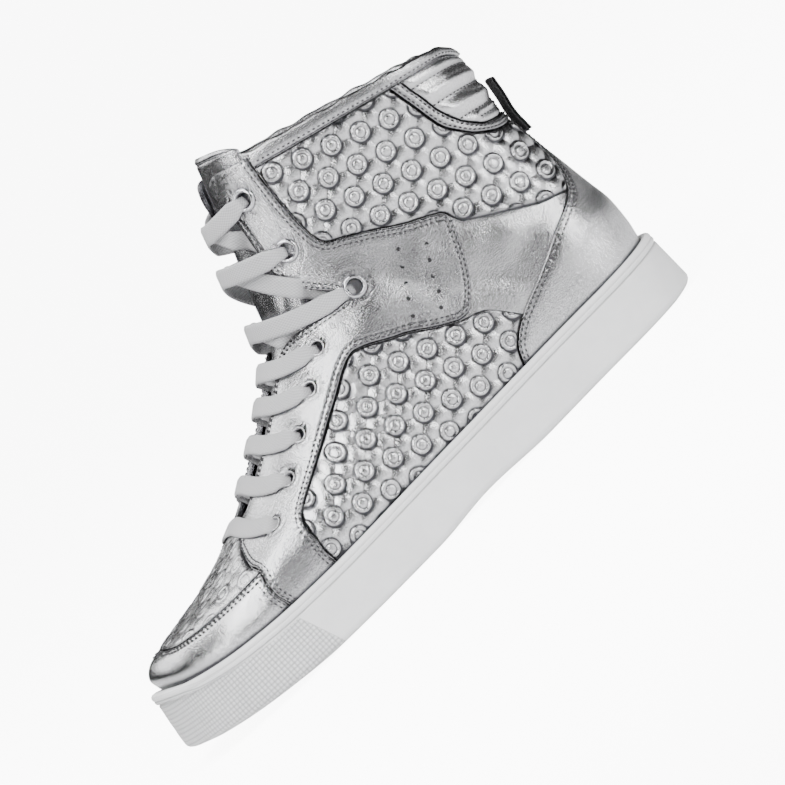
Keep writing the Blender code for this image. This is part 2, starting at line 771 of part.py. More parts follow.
# The tongue: a padded strip under the facings that rises between them
TONGUE_COLUMNS = ("up", "half_turn")
TONGUE = [
    (0.340, 0.130), (0.400, 0.150), (0.500, 0.160), (0.620, 0.165), (0.740, 0.215),
    (0.830, 0.270), (0.920, 0.260), (1.000, 0.235),
]
TONGUE_OPEN_SHARE = 0.85
TONGUE_EDGE_SHARE = 0.35
TONGUE_EDGE_RISE = 2.2
TONGUE_EASE = 4 * FIT_GAP


def tongue_ring(up, lift):
    half = read(TONGUE, up, 1)
    throat = TONGUE_OPEN_SHARE * read(THROAT, up, 1)
    turns = [half * step / 4 for step in range(-4, 5)]
    outer = []
    inner = []
    for turn in turns:
        crown = 0.0
        if up > THROAT[1][0] and abs(turn) < throat:
            crown = TONGUE_CROWN * (1 - (turn / throat) ** 2)
        edge = min(1.0, TONGUE_EDGE_RISE * (1 - abs(turn) / half) + TONGUE_EDGE_SHARE)
        face = WALL_BACK - TONGUE_EASE + crown
        rise = lean(0.0) * lift
        outer.append(skin(up, turn, face) + rise)
        inner.append(skin(up, turn, face - TONGUE_THICKNESS * edge) + rise)
    return outer + inner[::-1]


TONGUE_UPS = [0.34, 0.40, 0.44, 0.50, 0.57, 0.65, 0.72, 0.78, 0.84, 0.90, 0.95, 1.0]
tongue_rings = [tongue_ring(up, 0.0) for up in TONGUE_UPS]
tongue_rings.append(tongue_ring(1.0, TONGUE_LIFT))
tongue = closed_loft("tongue", tongue_rings, shoe)
paint(tongue, "leather", SILVER, 0.4, 0.5)


# The sole: side wall, lip and groove round a cup that takes the upper
def sole_place(turn, out, height, toe=0.0):
    """A place of the sole: out from the feather edge, and out by toe more at the tip."""
    place = last_point(0.0, turn)
    normal = last_normal(0.0, turn)
    flat = Vector((normal.x, normal.y, 0.0)).normalized()
    spot = place + flat * (out + toe * max(0.0, math.cos(math.pi * turn)) ** TOE_SPREAD)
    spot.z = height(SHOE_LENGTH / 2 - place.x)
    return spot


def over_bottom(rise):
    return lambda along: sole_bottom(along) + rise


def under_top(drop):
    return lambda along: sole_top(along) - drop


SOLE_INNER = PANEL_FACE + FIT_GAP
SOLE_OUTER = SOLE_INNER + SIDE_WALL
TOE_LOW = TOE_WALL + TOE_FLARE
SOLE_RINGS = [
    (SOLE_OUTER - EDGE_ROUND, over_bottom(0.0), TOE_LOW),
    (SOLE_OUTER - EDGE_ROUND * 0.3, over_bottom(EDGE_ROUND * 0.3), TOE_LOW),
    (SOLE_OUTER, over_bottom(EDGE_ROUND), TOE_LOW),
    (SOLE_OUTER, under_top(LIP_HEIGHT + LIP_STEP * 2), TOE_WALL),
    (SOLE_OUTER - LIP_STEP, under_top(LIP_HEIGHT + LIP_STEP), TOE_WALL),
    (SOLE_OUTER, under_top(LIP_HEIGHT), TOE_WALL),
    (SOLE_OUTER, under_top(EDGE_ROUND * 0.4), TOE_WALL),
    (SOLE_OUTER - EDGE_ROUND * 0.4, under_top(0.0), TOE_WALL),
    (SOLE_INNER, under_top(0.0), 0.0),
    (SOLE_INNER, under_top(CUP_DEPTH), 0.0),
]


def strip_fill(start, count):
    """Quads straight across the shoe between the two sides of a ring."""
    faces = []
    half = count // 2
    for step in range(half):
        right = start + (half + step) % count
        right_after = start + (half + step + 1) % count
        left = start + (half - step) % count
        left_after = start + (half - step - 1) % count
        faces.append(tuple(dict.fromkeys((right, right_after, left_after, left))))
    return faces


def filled_loft(name, rings, collection):
    points, faces = loft(rings, True, False)
    count = len(rings[0])
    faces += strip_fill(0, count)
    faces += strip_fill((len(rings) - 1) * count, count)
    return new_object(name, points, faces, collection)


sole_rings = []
for out, height, toe in SOLE_RINGS:
    sole_rings.append([sole_place(turn, out, height, toe) for turn in column_turns()])
cupsole = filled_loft("cupsole", sole_rings, shoe)


def side_reach(along, side):
    """How far the feather edge lies to one side, at a place along the shoe."""
    row = last_row(0.0)
    share = (along / SHOE_LENGTH - row["front"]) / (row["back"] - row["front"])
    turn = math.acos(1 - 2 * share) / math.pi
    return last_point(0.0, side * turn).y


def tread_channel(place):
    """A shallow channel across the underside, between two tread bars. It stops short of
    the side wall, so that the edge of the sole stays whole."""
    along = place * SHOE_LENGTH
    outer = side_reach(along, 1) - TREAD_EDGE
    inner = side_reach(along, -1) + TREAD_EDGE
    bpy.ops.mesh.primitive_cube_add(size=1.0)
    made = bpy.context.active_object
    made.name = f"tread_channel_{int(place * 100)}"
    made.scale = (TREAD_GAP, outer - inner, 2 * TREAD_DEPTH)
    made.location = (SHOE_LENGTH / 2 - along, (outer + inner) / 2, sole_bottom(along))
    bpy.ops.object.transform_apply(location=True, rotation=True, scale=True)
    for home in list(made.users_collection):
        home.objects.unlink(made)
    tools.objects.link(made)
    return made


for place in TREAD_PLACES:
    cut(cupsole, tread_channel(place), "DIFFERENCE")
paint(cupsole, "rubber", RUBBER_WHITE, 0.55, 0.0)


# The insole lies on the foot bed, inside the wall of the upper
INSOLE_OUT = WALL_BACK - 2 * FIT_GAP - INSOLE_EASE
insole_rings = []
for drop in (CUP_DEPTH - FIT_GAP, CUP_DEPTH - FIT_GAP - INSOLE_THICKNESS):
    insole_rings.append([sole_place(turn, INSOLE_OUT, under_top(drop)) for turn in column_turns()])
insole = filled_loft("insole", insole_rings, shoe)
paint(insole, "fabric", LINING_GREY, 0.9, 0.0)


# Eyelet rings: a turned head and barrel through the facing
def eyelet(name, turn, up):
    head_low = PANEL_FACE + FIT_GAP
    head_high = head_low + RING_HEAD
    bore = RING_BORE / 2
    barrel = bore + RING_WALL
    rim = RING_WIDTH / 2
    profile = [
        (bore, WALL_BACK), (barrel, WALL_BACK), (barrel, head_low), (rim, head_low),
        (rim - RING_HEAD * 0.5, head_high), (bore, head_high),
    ]
    rings = []
    for step in range(ROUND_SIDES):
        angle = 2 * math.pi * step / ROUND_SIDES
        rings.append([
            Vector((radius * math.cos(angle), radius * math.sin(angle), level))
            for radius, level in profile
        ])
    made = ring_loft(name, rings, shoe)
    turned = last_normal(up, turn).to_track_quat("Z", "X").to_matrix().to_4x4()
    made.data.transform(turned)
    made.data.transform(Matrix.Translation(skin(up, turn, 0.0)))
    paint(made, "metal", STEEL, 0.25, 1.0)
    return made


for side_name, side in (("outer", 1), ("inner", -1)):
    for row, (turn, up) in enumerate(RING_PLACES):
        eyelet(f"eyelet_{side_name}_{row + 1}", side * turn, up)


# Laces: flat strips over the throat, two to a crossing
def lace_place(path, share):
    """A place on the chart along a lace that bows over the middle of the throat."""
    start, middle, finish = path
    turn = start[0] + (finish[0] - start[0]) * share
    side = start if turn * start[0] > 0 else finish
    off = min(1.2, abs(turn / side[0]))
    return middle + (side[1] - middle) * off ** 1.6, turn


def lace_strip(name, path, clear_start, clear_finish, collection, steps=7, lift=LACE_LIFT):
    low = PANEL_FACE + lift
    high = low + LACE_THICKNESS
    places = []
    for step in range(steps + 1):
        share = step / steps
        places.append(lace_place(path, share))
    middles = [skin(up, turn, low) for up, turn in places]
    span = sum((after - here).length for here, after in zip(middles, middles[1:]))
    trim_start = clear_start / span
    trim_finish = clear_finish / span
    rings = []
    for step in range(steps + 1):
        share = trim_start + (1 - trim_start - trim_finish) * step / steps
        up, turn = lace_place(path, share)
        ahead_up, ahead_turn = lace_place(path, share + 0.02)
        middle = skin(up, turn, low)
        way = (skin(ahead_up, ahead_turn, low) - middle).normalized()
        normal = last_normal(up, turn)
        across = way.cross(normal).normalized() * (LACE_WIDTH / 2)
        rise = normal * LACE_THICKNESS
        rings.append([middle - across, middle + across, middle + across + rise, middle - across + rise])
    return closed_loft(name, rings, collection)


def crossing(name, place, middle_up, clear):
    turn, up = place
    near_path = ((turn, up), middle_up, (-CROSS_PAST_TURN, middle_up))
    far_path = ((-turn, up), middle_up, (CROSS_PAST_TURN, middle_up))
    first = lace_strip(name, near_path, clear, 0.0, shoe)
    second = lace_strip(name + "_b", far_path, clear, 0.0, tools, lift=LACE_LIFT * 1.5)
    cut(first, second, "UNION")
    return first


lace_places = RING_PLACES + HOLE_PLACES
lace_clears = [RING_WIDTH / 2 + FIT_GAP] * 3 + [HOLE_WIDTH / 2 + FIT_GAP] * 4
for row, (place, middle_up, clear) in enumerate(zip(lace_places, CROSS_PLACES, lace_clears)):
    made = crossing(f"lace_cross_{row + 1}", place, middle_up, clear)
    paint(made, "fabric", LACE_GREY, 0.8, 0.0)
bar_turn, bar_up = HOLE_PLACES[-1]
bar_clear = HOLE_WIDTH / 2 + FIT_GAP
bar_path = ((bar_turn, bar_up), CROSS_PLACES[-1], (-bar_turn, bar_up))
lace_bar = lace_strip("lace_bar_8", bar_path, bar_clear, bar_clear, shoe, 10)
paint(lace_bar, "fabric", LACE_GREY, 0.8, 0.0)


# The pull tab: a webbing loop down the middle of the back
TAB_COLUMNS = ("up", "stand_off")
TAB_LINE = [
    (0.490, 0.0006), (0.560, 0.0007), (0.610, 0.0008), (0.655, 0.0022), (0.700, 0.0035), (0.765, 0.0035),
]
TAB_FOLD_SHARE = 0.014


def tab_place(up, out, across):
    place = skin(up, 1.0, PANEL_FACE + out)
    return Vector((place.x, across, place.z))


def pull_tab_object():
    """A flat band up the back, folded over at the top and down again, with an eye inside."""
    depth = 2 * TAB_THICKNESS + TAB_EYE
    near = [(up, out, out + TAB_THICKNESS) for up, out in TAB_LINE]
    far = [(up, out + depth, out + depth - TAB_THICKNESS) for up, out in TAB_LINE[::-1]]
    top_up, top_out = TAB_LINE[-1]
    fold = [(top_up + TAB_FOLD_SHARE, top_out + depth / 2, top_out + depth / 2)]
    rings = []
    for up, outside, inside in near + fold + far:
        inner_up = top_up if up > top_up else up
        rings.append([
            tab_place(up, outside, -TAB_WIDTH / 2), tab_place(up, outside, TAB_WIDTH / 2),
            tab_place(inner_up, inside, TAB_WIDTH / 2), tab_place(inner_up, inside, -TAB_WIDTH / 2),
        ])
    return ring_loft("pull_tab", rings, shoe)


pull_tab = pull_tab_object()
paint(pull_tab, "fabric", WEBBING_BLACK, 0.9, 0.0)

# The frame's origin lies under the middle of the sole
sole_corners = [Vector(corner) for corner in cupsole.bound_box]
middle_x = (max(corner.x for corner in sole_corners) + min(corner.x for corner in sole_corners)) / 2
middle_y = (max(corner.y for corner in sole_corners) + min(corner.y for corner in sole_corners)) / 2
for body in list(shoe.objects) + list(tools.objects):
    body.data.transform(Matrix.Translation((-middle_x, -middle_y, 0.0)))

tools.hide_render = True
for tool in tools.objects:
    tool.hide_render = True
    tool.display_type = "WIRE"
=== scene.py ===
# %% [markdown]
# # A silver high-top dance sneaker
# The shoe is a left one, seen from its outer side. A real one starts from a last,
# the wooden or plastic foot that the leather is pulled over. Here the last is a
# small table of rings, and every piece of leather is laid on it, as a shoemaker does.

# %% Tools and the frame
import math

import bmesh
import bpy
import numpy as np
from mathutils import Matrix, Vector, kdtree
from mathutils.geometry import delaunay_2d_cdt


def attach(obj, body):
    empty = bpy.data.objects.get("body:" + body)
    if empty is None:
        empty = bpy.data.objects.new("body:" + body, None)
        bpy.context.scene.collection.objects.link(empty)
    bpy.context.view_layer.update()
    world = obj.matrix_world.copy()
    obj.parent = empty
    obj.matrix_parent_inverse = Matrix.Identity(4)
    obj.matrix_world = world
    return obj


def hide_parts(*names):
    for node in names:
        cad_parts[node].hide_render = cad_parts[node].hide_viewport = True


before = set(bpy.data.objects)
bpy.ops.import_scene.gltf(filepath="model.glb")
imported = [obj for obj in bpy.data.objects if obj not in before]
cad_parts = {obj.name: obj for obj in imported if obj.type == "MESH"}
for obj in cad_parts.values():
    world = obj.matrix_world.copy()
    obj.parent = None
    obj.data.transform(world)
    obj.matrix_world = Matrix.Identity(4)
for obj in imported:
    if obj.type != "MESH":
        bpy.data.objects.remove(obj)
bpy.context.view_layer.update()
MM = 0.001

# %% [markdown]
# ## The last
# Each row of the table is one ring round the foot, from the feather edge (where the
# upper meets the sole) to the collar. Its columns are shares of the shoe's length,
# ball width, instep height and heel height, so one change of size moves everything.

# %% Sizes and tables
SHOE_LENGTH = 0.267
BALL_WIDTH = 0.093
INSTEP_HEIGHT = 0.073
HEEL_HEIGHT = 0.108
SOLE_HEIGHT = 0.025
TOE_SWING = 0.005
LAST_COLUMNS = (
    "up", "front", "front_rise", "back", "back_rise", "fore_out", "fore_in",
    "mid_out", "mid_in", "heel_out", "heel_in", "toe_reach", "heel_reach", "blunt",
)
LAST = np.array([
    (-0.10, 0.040, -0.14, 0.988, -0.095, 0.485, 0.455, 0.43, 0.35, 0.335, 0.325, 0.178, 0.139, 2.2),
    (0.00, 0.0375, 0.00, 0.990, 0.00, 0.497, 0.468, 0.44, 0.365, 0.345, 0.335, 0.178, 0.139, 2.2),
    (0.06, 0.035, 0.05, 0.996, 0.08, 0.505, 0.478, 0.446, 0.382, 0.355, 0.345, 0.184, 0.142, 2.2),
    (0.12, 0.050, 0.14, 0.999, 0.175, 0.500, 0.478, 0.442, 0.393, 0.355, 0.350, 0.212, 0.146, 2.2),
    (0.18, 0.087, 0.21, 0.995, 0.26, 0.480, 0.465, 0.436, 0.398, 0.350, 0.345, 0.240, 0.150, 2.25),
    (0.28, 0.167, 0.295, 0.990, 0.36, 0.445, 0.445, 0.420, 0.398, 0.340, 0.333, 0.282, 0.154, 2.4),
    (0.40, 0.267, 0.425, 0.984, 0.47, 0.395, 0.400, 0.403, 0.393, 0.328, 0.323, 0.296, 0.157, 2.8),
    (0.53, 0.360, 0.615, 0.979, 0.585, 0.355, 0.360, 0.382, 0.382, 0.317, 0.317, 0.285, 0.161, 3.0),
    (0.65, 0.442, 0.815, 0.975, 0.675, 0.335, 0.335, 0.360, 0.365, 0.317, 0.317, 0.260, 0.165, 2.9),
    (0.74, 0.492, 1.00, 0.977, 0.75, 0.325, 0.325, 0.350, 0.355, 0.323, 0.317, 0.225, 0.168, 2.6),
    (0.83, 0.522, 1.275, 0.981, 0.83, 0.325, 0.325, 0.344, 0.350, 0.333, 0.328, 0.200, 0.171, 2.4),
    (0.92, 0.552, 1.57, 0.986, 0.912, 0.335, 0.335, 0.350, 0.350, 0.344, 0.339, 0.190, 0.171, 2.3),
    (1.00, 0.586, 1.92, 0.984, 1.00, 0.344, 0.344, 0.355, 0.355, 0.350, 0.344, 0.175, 0.168, 2.2),
])
SOLE_EDGE = np.array([
    (0.00, 1.46, 0.36), (0.02, 1.39, 0.34), (0.04, 1.31, 0.30), (0.06, 1.215, 0.235),
    (0.15, 1.05, 0.09), (0.24, 0.985, 0.01), (0.32, 0.97, 0.0), (0.44, 0.985, 0.0),
    (0.55, 0.995, 0.07), (0.68, 1.00, 0.0), (0.94, 1.005, 0.0), (1.00, 1.02, 0.03),
])
TOE_STATION, FORE_STATION, MID_STATION, HEEL_STATION = 0.22, 0.34, 0.56, 0.84
BACK_BLUNT, TOE_SHARE = 2.2, 0.985
CHART_STEP, TINY = 0.004, 1e-12
STATIONS = np.array([TOE_STATION, FORE_STATION, MID_STATION, HEEL_STATION, 1.0])

# %% [markdown]
# A few short curves are used all over: a soft step, a bell, and a curve between two
# values with given slopes. A table read with such curves has no corners, which flat
# steps between its rows would leave in the leather.

# %% Small curves
def soft_step(value, width=1.0):
    """Climbs from 0 to 1 as the value runs from 0 to the width, and is level at both ends."""
    share = np.clip(value / width, 0, 1)
    return share * share * (3 - 2 * share)


def unit(vectors):
    return vectors / np.linalg.norm(vectors, axis=1)[:, None]


def round_angles(count):
    return np.linspace(0, 2 * np.pi, count, endpoint=False)


def bell(value):
    return np.exp(-(value**2))


def hermite(start, finish, lead, trail, share):
    """A soft curve between two values that leaves and arrives with the given slopes."""
    rest = 1 - share
    ends = start * (1 + 2 * share) * rest**2 + finish * share**2 * (3 - 2 * share)
    return ends + lead * share * rest**2 - trail * share**2 * rest


def slopes(at, values):
    """Slopes at the knots that never overshoot a table's rows."""
    run = np.diff(at)[:, None]
    rise = np.diff(values, axis=0) / run
    out = np.zeros_like(values)
    out[0], out[-1] = rise[0], rise[-1]
    before, after = run[:-1], run[1:]
    heavy, light = 2 * after + before, after + 2 * before
    same_way = rise[:-1] * rise[1:] > 0
    low = np.where(same_way, rise[:-1], 1.0)
    high = np.where(same_way, rise[1:], 1.0)
    out[1:-1] = np.where(same_way, (heavy + light) / (heavy / low + light / high), 0.0)
    return out


def read(at, values, places):
    """Smooth reading of a table. values is one column, or one column for each place."""
    places = np.clip(np.asarray(places, float), at[0], at[-1])
    values = np.asarray(values, float)
    columns = values if values.ndim == 2 else values[:, None]
    tilt = slopes(at, columns)
    row = np.clip(np.searchsorted(at, places, side="right") - 1, 0, len(at) - 2)
    span = at[row + 1] - at[row]
    share = (places - at[row]) / span
    pick = np.arange(len(places)) if values.ndim == 2 else np.zeros(len(places), int)
    lead, trail = tilt[row, pick] * span, tilt[row + 1, pick] * span
    return hermite(columns[row, pick], columns[row + 1, pick], lead, trail, share)

# %% [markdown]
# A place on the last is named by two numbers: how far round the foot (turn) and how far
# up it (up). A sculpted foot would look the same, but the table can be changed by
# one number, and the pattern lines stay where they belong.

# %% The skin of the last
def sole_top(along):
    return SOLE_HEIGHT * read(SOLE_EDGE[:, 0], SOLE_EDGE[:, 1], along / SHOE_LENGTH)


def sole_bottom(along):
    return SOLE_HEIGHT * read(SOLE_EDGE[:, 0], SOLE_EDGE[:, 2], along / SHOE_LENGTH)


def round_end(distance, reach, blunt):
    share = np.clip(1 - np.maximum(distance, 0) / reach, 0, 1)
    return np.maximum(0, 1 - share**blunt) ** (1 / blunt)


def last_place(up, turn):
    """Points on the last's skin. turn is 0 at the toe and 1 at the heel, minus inside."""
    up, turn = np.broadcast_arrays(np.asarray(up, float), np.asarray(turn, float))
    up, turn = up.ravel(), (turn.ravel() + 1) % 2 - 1
    row = {name: read(LAST[:, 0], LAST[:, place], up) for place, name in enumerate(LAST_COLUMNS)}
    share = (1 - np.cos(np.pi * turn)) / 2
    front, back = row["front"] * SHOE_LENGTH, row["back"] * SHOE_LENGTH
    along = front + (back - front) * share
    outer = turn >= 0
    fore = np.where(outer, row["fore_out"], row["fore_in"])
    mid = np.where(outer, row["mid_out"], row["mid_in"])
    heel = np.where(outer, row["heel_out"], row["heel_in"])
    widths = np.stack([fore * TOE_SHARE, fore, mid, heel, heel])
    across = np.where(outer, 1, -1) * BALL_WIDTH * read(STATIONS, widths, along / SHOE_LENGTH)
    across = across * round_end(along - front, row["toe_reach"] * SHOE_LENGTH, row["blunt"])
    across = across * round_end(back - along, row["heel_reach"] * SHOE_LENGTH, BACK_BLUNT)
    across = across - TOE_SWING * np.maximum(0, 1 - along / SHOE_LENGTH / FORE_STATION) ** 2
    rise = row["front_rise"] * INSTEP_HEIGHT * (1 - share) + row["back_rise"] * HEEL_HEIGHT * share
    return np.stack([SHOE_LENGTH / 2 - along, across, sole_top(along) + rise], axis=1)


def last_frame(up, turn):
    """Place, outward normal, and the two ways along the chart (by turn and by up)."""
    up, turn = np.broadcast_arrays(np.asarray(up, float), np.asarray(turn, float))
    up, turn = np.clip(up.ravel(), LAST[0, 0], 1.0), turn.ravel()
    high, low = np.minimum(1, up + CHART_STEP), np.maximum(LAST[0, 0], up - CHART_STEP)
    climb = (last_place(high, turn) - last_place(low, turn)) / (high - low)[:, None]
    ahead = last_place(up, turn + CHART_STEP) - last_place(up, turn - CHART_STEP)
    ahead /= 2 * CHART_STEP
    return last_place(up, turn), unit(np.cross(ahead, climb)), ahead, climb


low_edge, collar = last_place(0.0, 0.5)[0], last_place(1.0, 1.0)[0]
print("feather edge and collar in mm:", (low_edge / MM).round(1), (collar / MM).round(1))

# %% [markdown]
# The frame's origin lies under the middle of the sole, so the last is moved to it
# once. The size of the sole's own box gives the shift.

# %% Thicknesses and the shift
WALL, PANEL, PANEL_FACE, FIT_GAP = 0.0018, 0.0012, 0.0003, 0.0003
PANEL_BACK = PANEL_FACE - PANEL
WALL_FACE = PANEL_BACK - FIT_GAP
WALL_BACK = WALL_FACE - WALL
SIDE_WALL, TOE_WALL, TOE_FLARE, TIP_POWER = 0.0032, 0.0015, 0.0030, 4
CUP_DEPTH = 0.0125
SOLE_INNER = PANEL_FACE + FIT_GAP
SOLE_OUTER = SOLE_INNER + SIDE_WALL


def sole_plan(turn, out, toe=0.0):
    """The sole's outline seen from above, grown outward by out, and by toe at the tip."""
    place, normal, _, _ = last_frame(0.0, turn)
    grow = out + toe * np.maximum(0, np.cos(np.pi * turn)) ** TIP_POWER
    return place[:, :2] + unit(normal[:, :2]) * grow[:, None], SHOE_LENGTH / 2 - place[:, 0]


outline, _ = sole_plan(np.arange(32) / 16 - 1, SOLE_OUTER, TOE_WALL + TOE_FLARE)
SHIFT = np.append(-(outline.max(axis=0) + outline.min(axis=0)) / 2, 0.0)
print("shift of the last in mm:", (SHIFT / MM).round(2))


def skin(up, turn, out=0.0):
    place, normal, _, _ = last_frame(up, turn)
    return place + normal * np.broadcast_to(out, len(place))[:, None] + SHIFT


# %% [markdown]
# ## Cutting leather on a chart
# A maker draws each panel flat, cuts it and pulls it over the last. Here the flat
# pattern is a line on a chart (turn round the foot, up the foot). The inside is
# filled with fine, even triangles, and the whole patch is laid on the last. A shrinkwrap
# modifier over a flat sheet would do it too, but it slides at the toe and the heel.

# %% Lines on the chart
def smooth_line(rows, steps=10):
    """A soft line through a short table of (turn, up) rows."""
    rows = np.asarray(rows, float)
    padded = np.vstack([rows[:1], rows, rows[-1:]])
    share = (np.arange(steps) / steps)[:, None]
    parts = []
    for before, start, finish, after in zip(padded, padded[1:], padded[2:], padded[3:]):
        parts.append(hermite(start, finish, (finish - before) / 2, (after - start) / 2, share))
    return np.vstack(parts + [rows[-1:]])


def even_line(line, spacing, closed=False):
    """The same line with points an even distance apart on the last."""
    line = np.vstack([line, line[:1]]) if closed else np.asarray(line)
    places = skin(line[:, 1], line[:, 0])
    length = np.append(0, np.cumsum(np.linalg.norm(np.diff(places, axis=0), axis=1)))
    count = max(2, int(round(length[-1] / spacing)))
    at = np.linspace(0, length[-1], count + 1)
    if closed:
        at = at[:-1]
    return np.stack([np.interp(at, length, line[:, 0]), np.interp(at, length, line[:, 1])], axis=1)


def step_aside(line, distance, closed=False):
    """A line moved sideways on the leather, to its left if distance is positive."""
    line = np.asarray(line, float)
    _, normal, ahead, climb = last_frame(line[:, 1], line[:, 0])
    places = skin(line[:, 1], line[:, 0])
    if closed:
        way = np.roll(places, -1, axis=0) - np.roll(places, 1, axis=0)
    else:
        way = np.gradient(places, axis=0)
    way /= np.linalg.norm(way, axis=1)[:, None] + TINY
    side = np.cross(normal, way) * distance
    aa, ac, cc = (ahead * ahead).sum(1), (ahead * climb).sum(1), (climb * climb).sum(1)
    sa, sc = (side * ahead).sum(1), (side * climb).sum(1)
    det = aa * cc - ac**2
    turn = (sa * cc - sc * ac) / det
    up = (sc * aa - sa * ac) / det
    return line + np.stack([turn, up], axis=1)

# %% [markdown]
# Three questions about flat loops come up for each panel: which points lie inside,
# which way the loop runs, and how far each point is from the cut edge.

# %% Inside, area and distance
def inside(points, loop):
    """Which flat points lie inside a closed flat loop."""
    hit = np.zeros(len(points), bool)
    x, y = points[:, 0], points[:, 1]
    for (ax, ay), (bx, by) in zip(loop, np.roll(loop, -1, axis=0)):
        if ay == by:
            continue
        hit ^= ((ay > y) != (by > y)) & (x < (bx - ax) * (y - ay) / (by - ay) + ax)
    return hit


def signed_area(loop):
    after = np.roll(loop, -1, axis=0)
    return (loop[:, 0] * after[:, 1] - after[:, 0] * loop[:, 1]).sum() / 2


def near_distance(points, targets):
    tree = kdtree.KDTree(len(targets))
    for place, point in enumerate(targets):
        tree.insert(point, place)
    tree.balance()
    return np.array([tree.find(point)[2] for point in points])

# %% [markdown]
# A mesh is only points and faces. Here it is made in one call, its faces are turned
# outward and its doubles are merged, as Merge by Distance does in edit mode.

# %% From points to a piece
def new_piece(name, points, faces):
    mesh = bpy.data.meshes.new(name)
    mesh.from_pydata(np.asarray(points).tolist(), [], [tuple(face) for face in faces])
    mesh.update()
    piece = bpy.data.objects.new(name.replace(" ", "_"), mesh)
    bpy.context.scene.collection.objects.link(piece)
    mesh.shade_smooth()
    return piece


def face_out(piece, change=None):
    """Lets change work on the mesh, if there is one, and turns every face outward."""
    work = bmesh.new()
    work.from_mesh(piece.data)
    if change:
        change(work)
    bmesh.ops.recalc_face_normals(work, faces=work.faces)
    work.to_mesh(piece.data)
    work.free()


def weld(piece):
    """Joins the points where two halves meet."""
    face_out(piece, lambda work: bmesh.ops.remove_doubles(work, verts=work.verts, dist=WELD))
    piece.data.shade_smooth()


def add_layer(piece, name, values):
    """One value for each point, which a material can read."""
    piece.data.attributes.new(name, "FLOAT", "POINT").data.foreach_set("value", values)

# %% [markdown]
# A panel could be a grid with its edge cut by a knife, but a grid leaves steps there.
# Instead the edge comes first, two or three rows follow it, and even triangles fill the
# rest. The grooves and stitches then lie on clean rows.

# %% Filling a pattern
WELD = 0.00002
EDGE_PITCH, HOLE_PITCH, ROW_SHARE = 0.0008, 0.0006, 0.866
HOLE_CLEAR = 0.0002


def fill_pattern(loop, spacing, holes=(), rings=(0.00025, 0.0006, 0.0011)):
    """Even triangles inside a loop of chart places, with rows that follow the edges.
    Gives chart places, faces and the points of the edges."""
    loop = even_line(loop, EDGE_PITCH, closed=True)
    if signed_area(loop) < 0:
        loop = loop[::-1]
    hole_loops = [even_line(hole, HOLE_PITCH, closed=True) for hole in holes]
    hole_loops = [hole if signed_area(hole) > 0 else hole[::-1] for hole in hole_loops]
    _, _, ahead, climb = last_frame(loop[:, 1], loop[:, 0])
    scale = np.array([np.linalg.norm(ahead, axis=1).mean(), np.linalg.norm(climb, axis=1).mean()])
    low, high = loop.min(axis=0), loop.max(axis=0)
    wide, tall = ((high - low) * scale / spacing).astype(int) + 2
    grid_x, grid_y = np.meshgrid(np.arange(wide), np.arange(int(tall / ROW_SHARE) + 1))
    grid = np.stack([grid_x + 0.5 * (grid_y % 2), grid_y * ROW_SHARE], axis=-1).reshape(-1, 2)
    grid = low + grid * spacing / scale
    extra = [step_aside(loop, ring, closed=True) for ring in rings]
    extra += [step_aside(hole, -ring, closed=True) for hole in hole_loops for ring in rings[:2]]
    for ring in extra:
        ring[:, 1] = np.clip(ring[:, 1], LAST[0, 0], 1.0)
    edges_all = np.vstack([loop] + hole_loops)
    edge_places = skin(edges_all[:, 1], edges_all[:, 0])
    keep_rings = []
    for place, ring in enumerate(extra):
        ring = ring[inside(ring, loop)]
        for hole in hole_loops:
            ring = ring[~inside(ring, hole)]
        if len(ring):
            gap = rings[place] if place < len(rings) else HOLE_CLEAR
            clear = near_distance(skin(ring[:, 1], ring[:, 0]), edge_places) > 0.8 * gap
            keep_rings.append(ring[clear])
    grid = grid[inside(grid, loop)]
    for hole in hole_loops:
        grid = grid[~inside(grid, hole)]
    if len(grid):
        clear = near_distance(skin(grid[:, 1], grid[:, 0]), edge_places)
        grid = grid[clear > rings[-1] + spacing * 0.45]
    chart = np.vstack([edges_all] + keep_rings + [grid])
    edges, start = [], 0
    for ring in [loop] + hole_loops:
        edges += [(start + i, start + (i + 1) % len(ring)) for i in range(len(ring))]
        start += len(ring)
    flat = [Vector(point) for point in chart * scale / MM]
    made, _, faces, _, _, _ = delaunay_2d_cdt(flat, edges, [], 0, 1e-5)
    chart = np.array([tuple(point) for point in made]) / (scale / MM)
    faces = np.array([face for face in faces if len(face) == 3])
    middle = chart[faces].mean(axis=1)
    keep = inside(middle, loop)
    for hole in hole_loops:
        keep &= ~inside(middle, hole)
    return chart, faces[keep], edges_all


# %% [markdown]
# Leather isn't stiff. The foot's bend leaves soft troughs over the vamp and at the
# ankle, and these are listed, each between two places on the chart. Sculpting
# would do as well, but a table can be read and changed.

# %% Creases
# From (turn, up), to (turn, up), half width in mm, depth in mm
CREASES = [
    (0.66, 0.50, 0.78, 0.30, 5.0, 0.7), (0.70, 0.22, 0.82, 0.30, 5.0, 0.5),
    (0.64, 0.33, 0.70, 0.16, 4.0, 0.5), (0.43, 0.66, 0.54, 0.50, 6.0, 0.6),
    (0.36, 0.60, 0.46, 0.55, 5.0, -0.5), (0.30, 0.12, 0.34, 0.28, 4.0, 0.5),
    (0.31, 0.80, 0.42, 0.72, 5.0, 0.5), (0.52, 0.60, 0.61, 0.42, 6.0, -0.5),
    (0.20, 0.93, 0.27, 0.80, 5.0, 0.4), (0.24, 0.06, 0.27, 0.15, 4.0, 0.4),
    (0.70, 0.09, 0.86, 0.16, 7.0, -0.5), (0.80, 0.05, 0.95, 0.24, 7.0, 0.4),
]


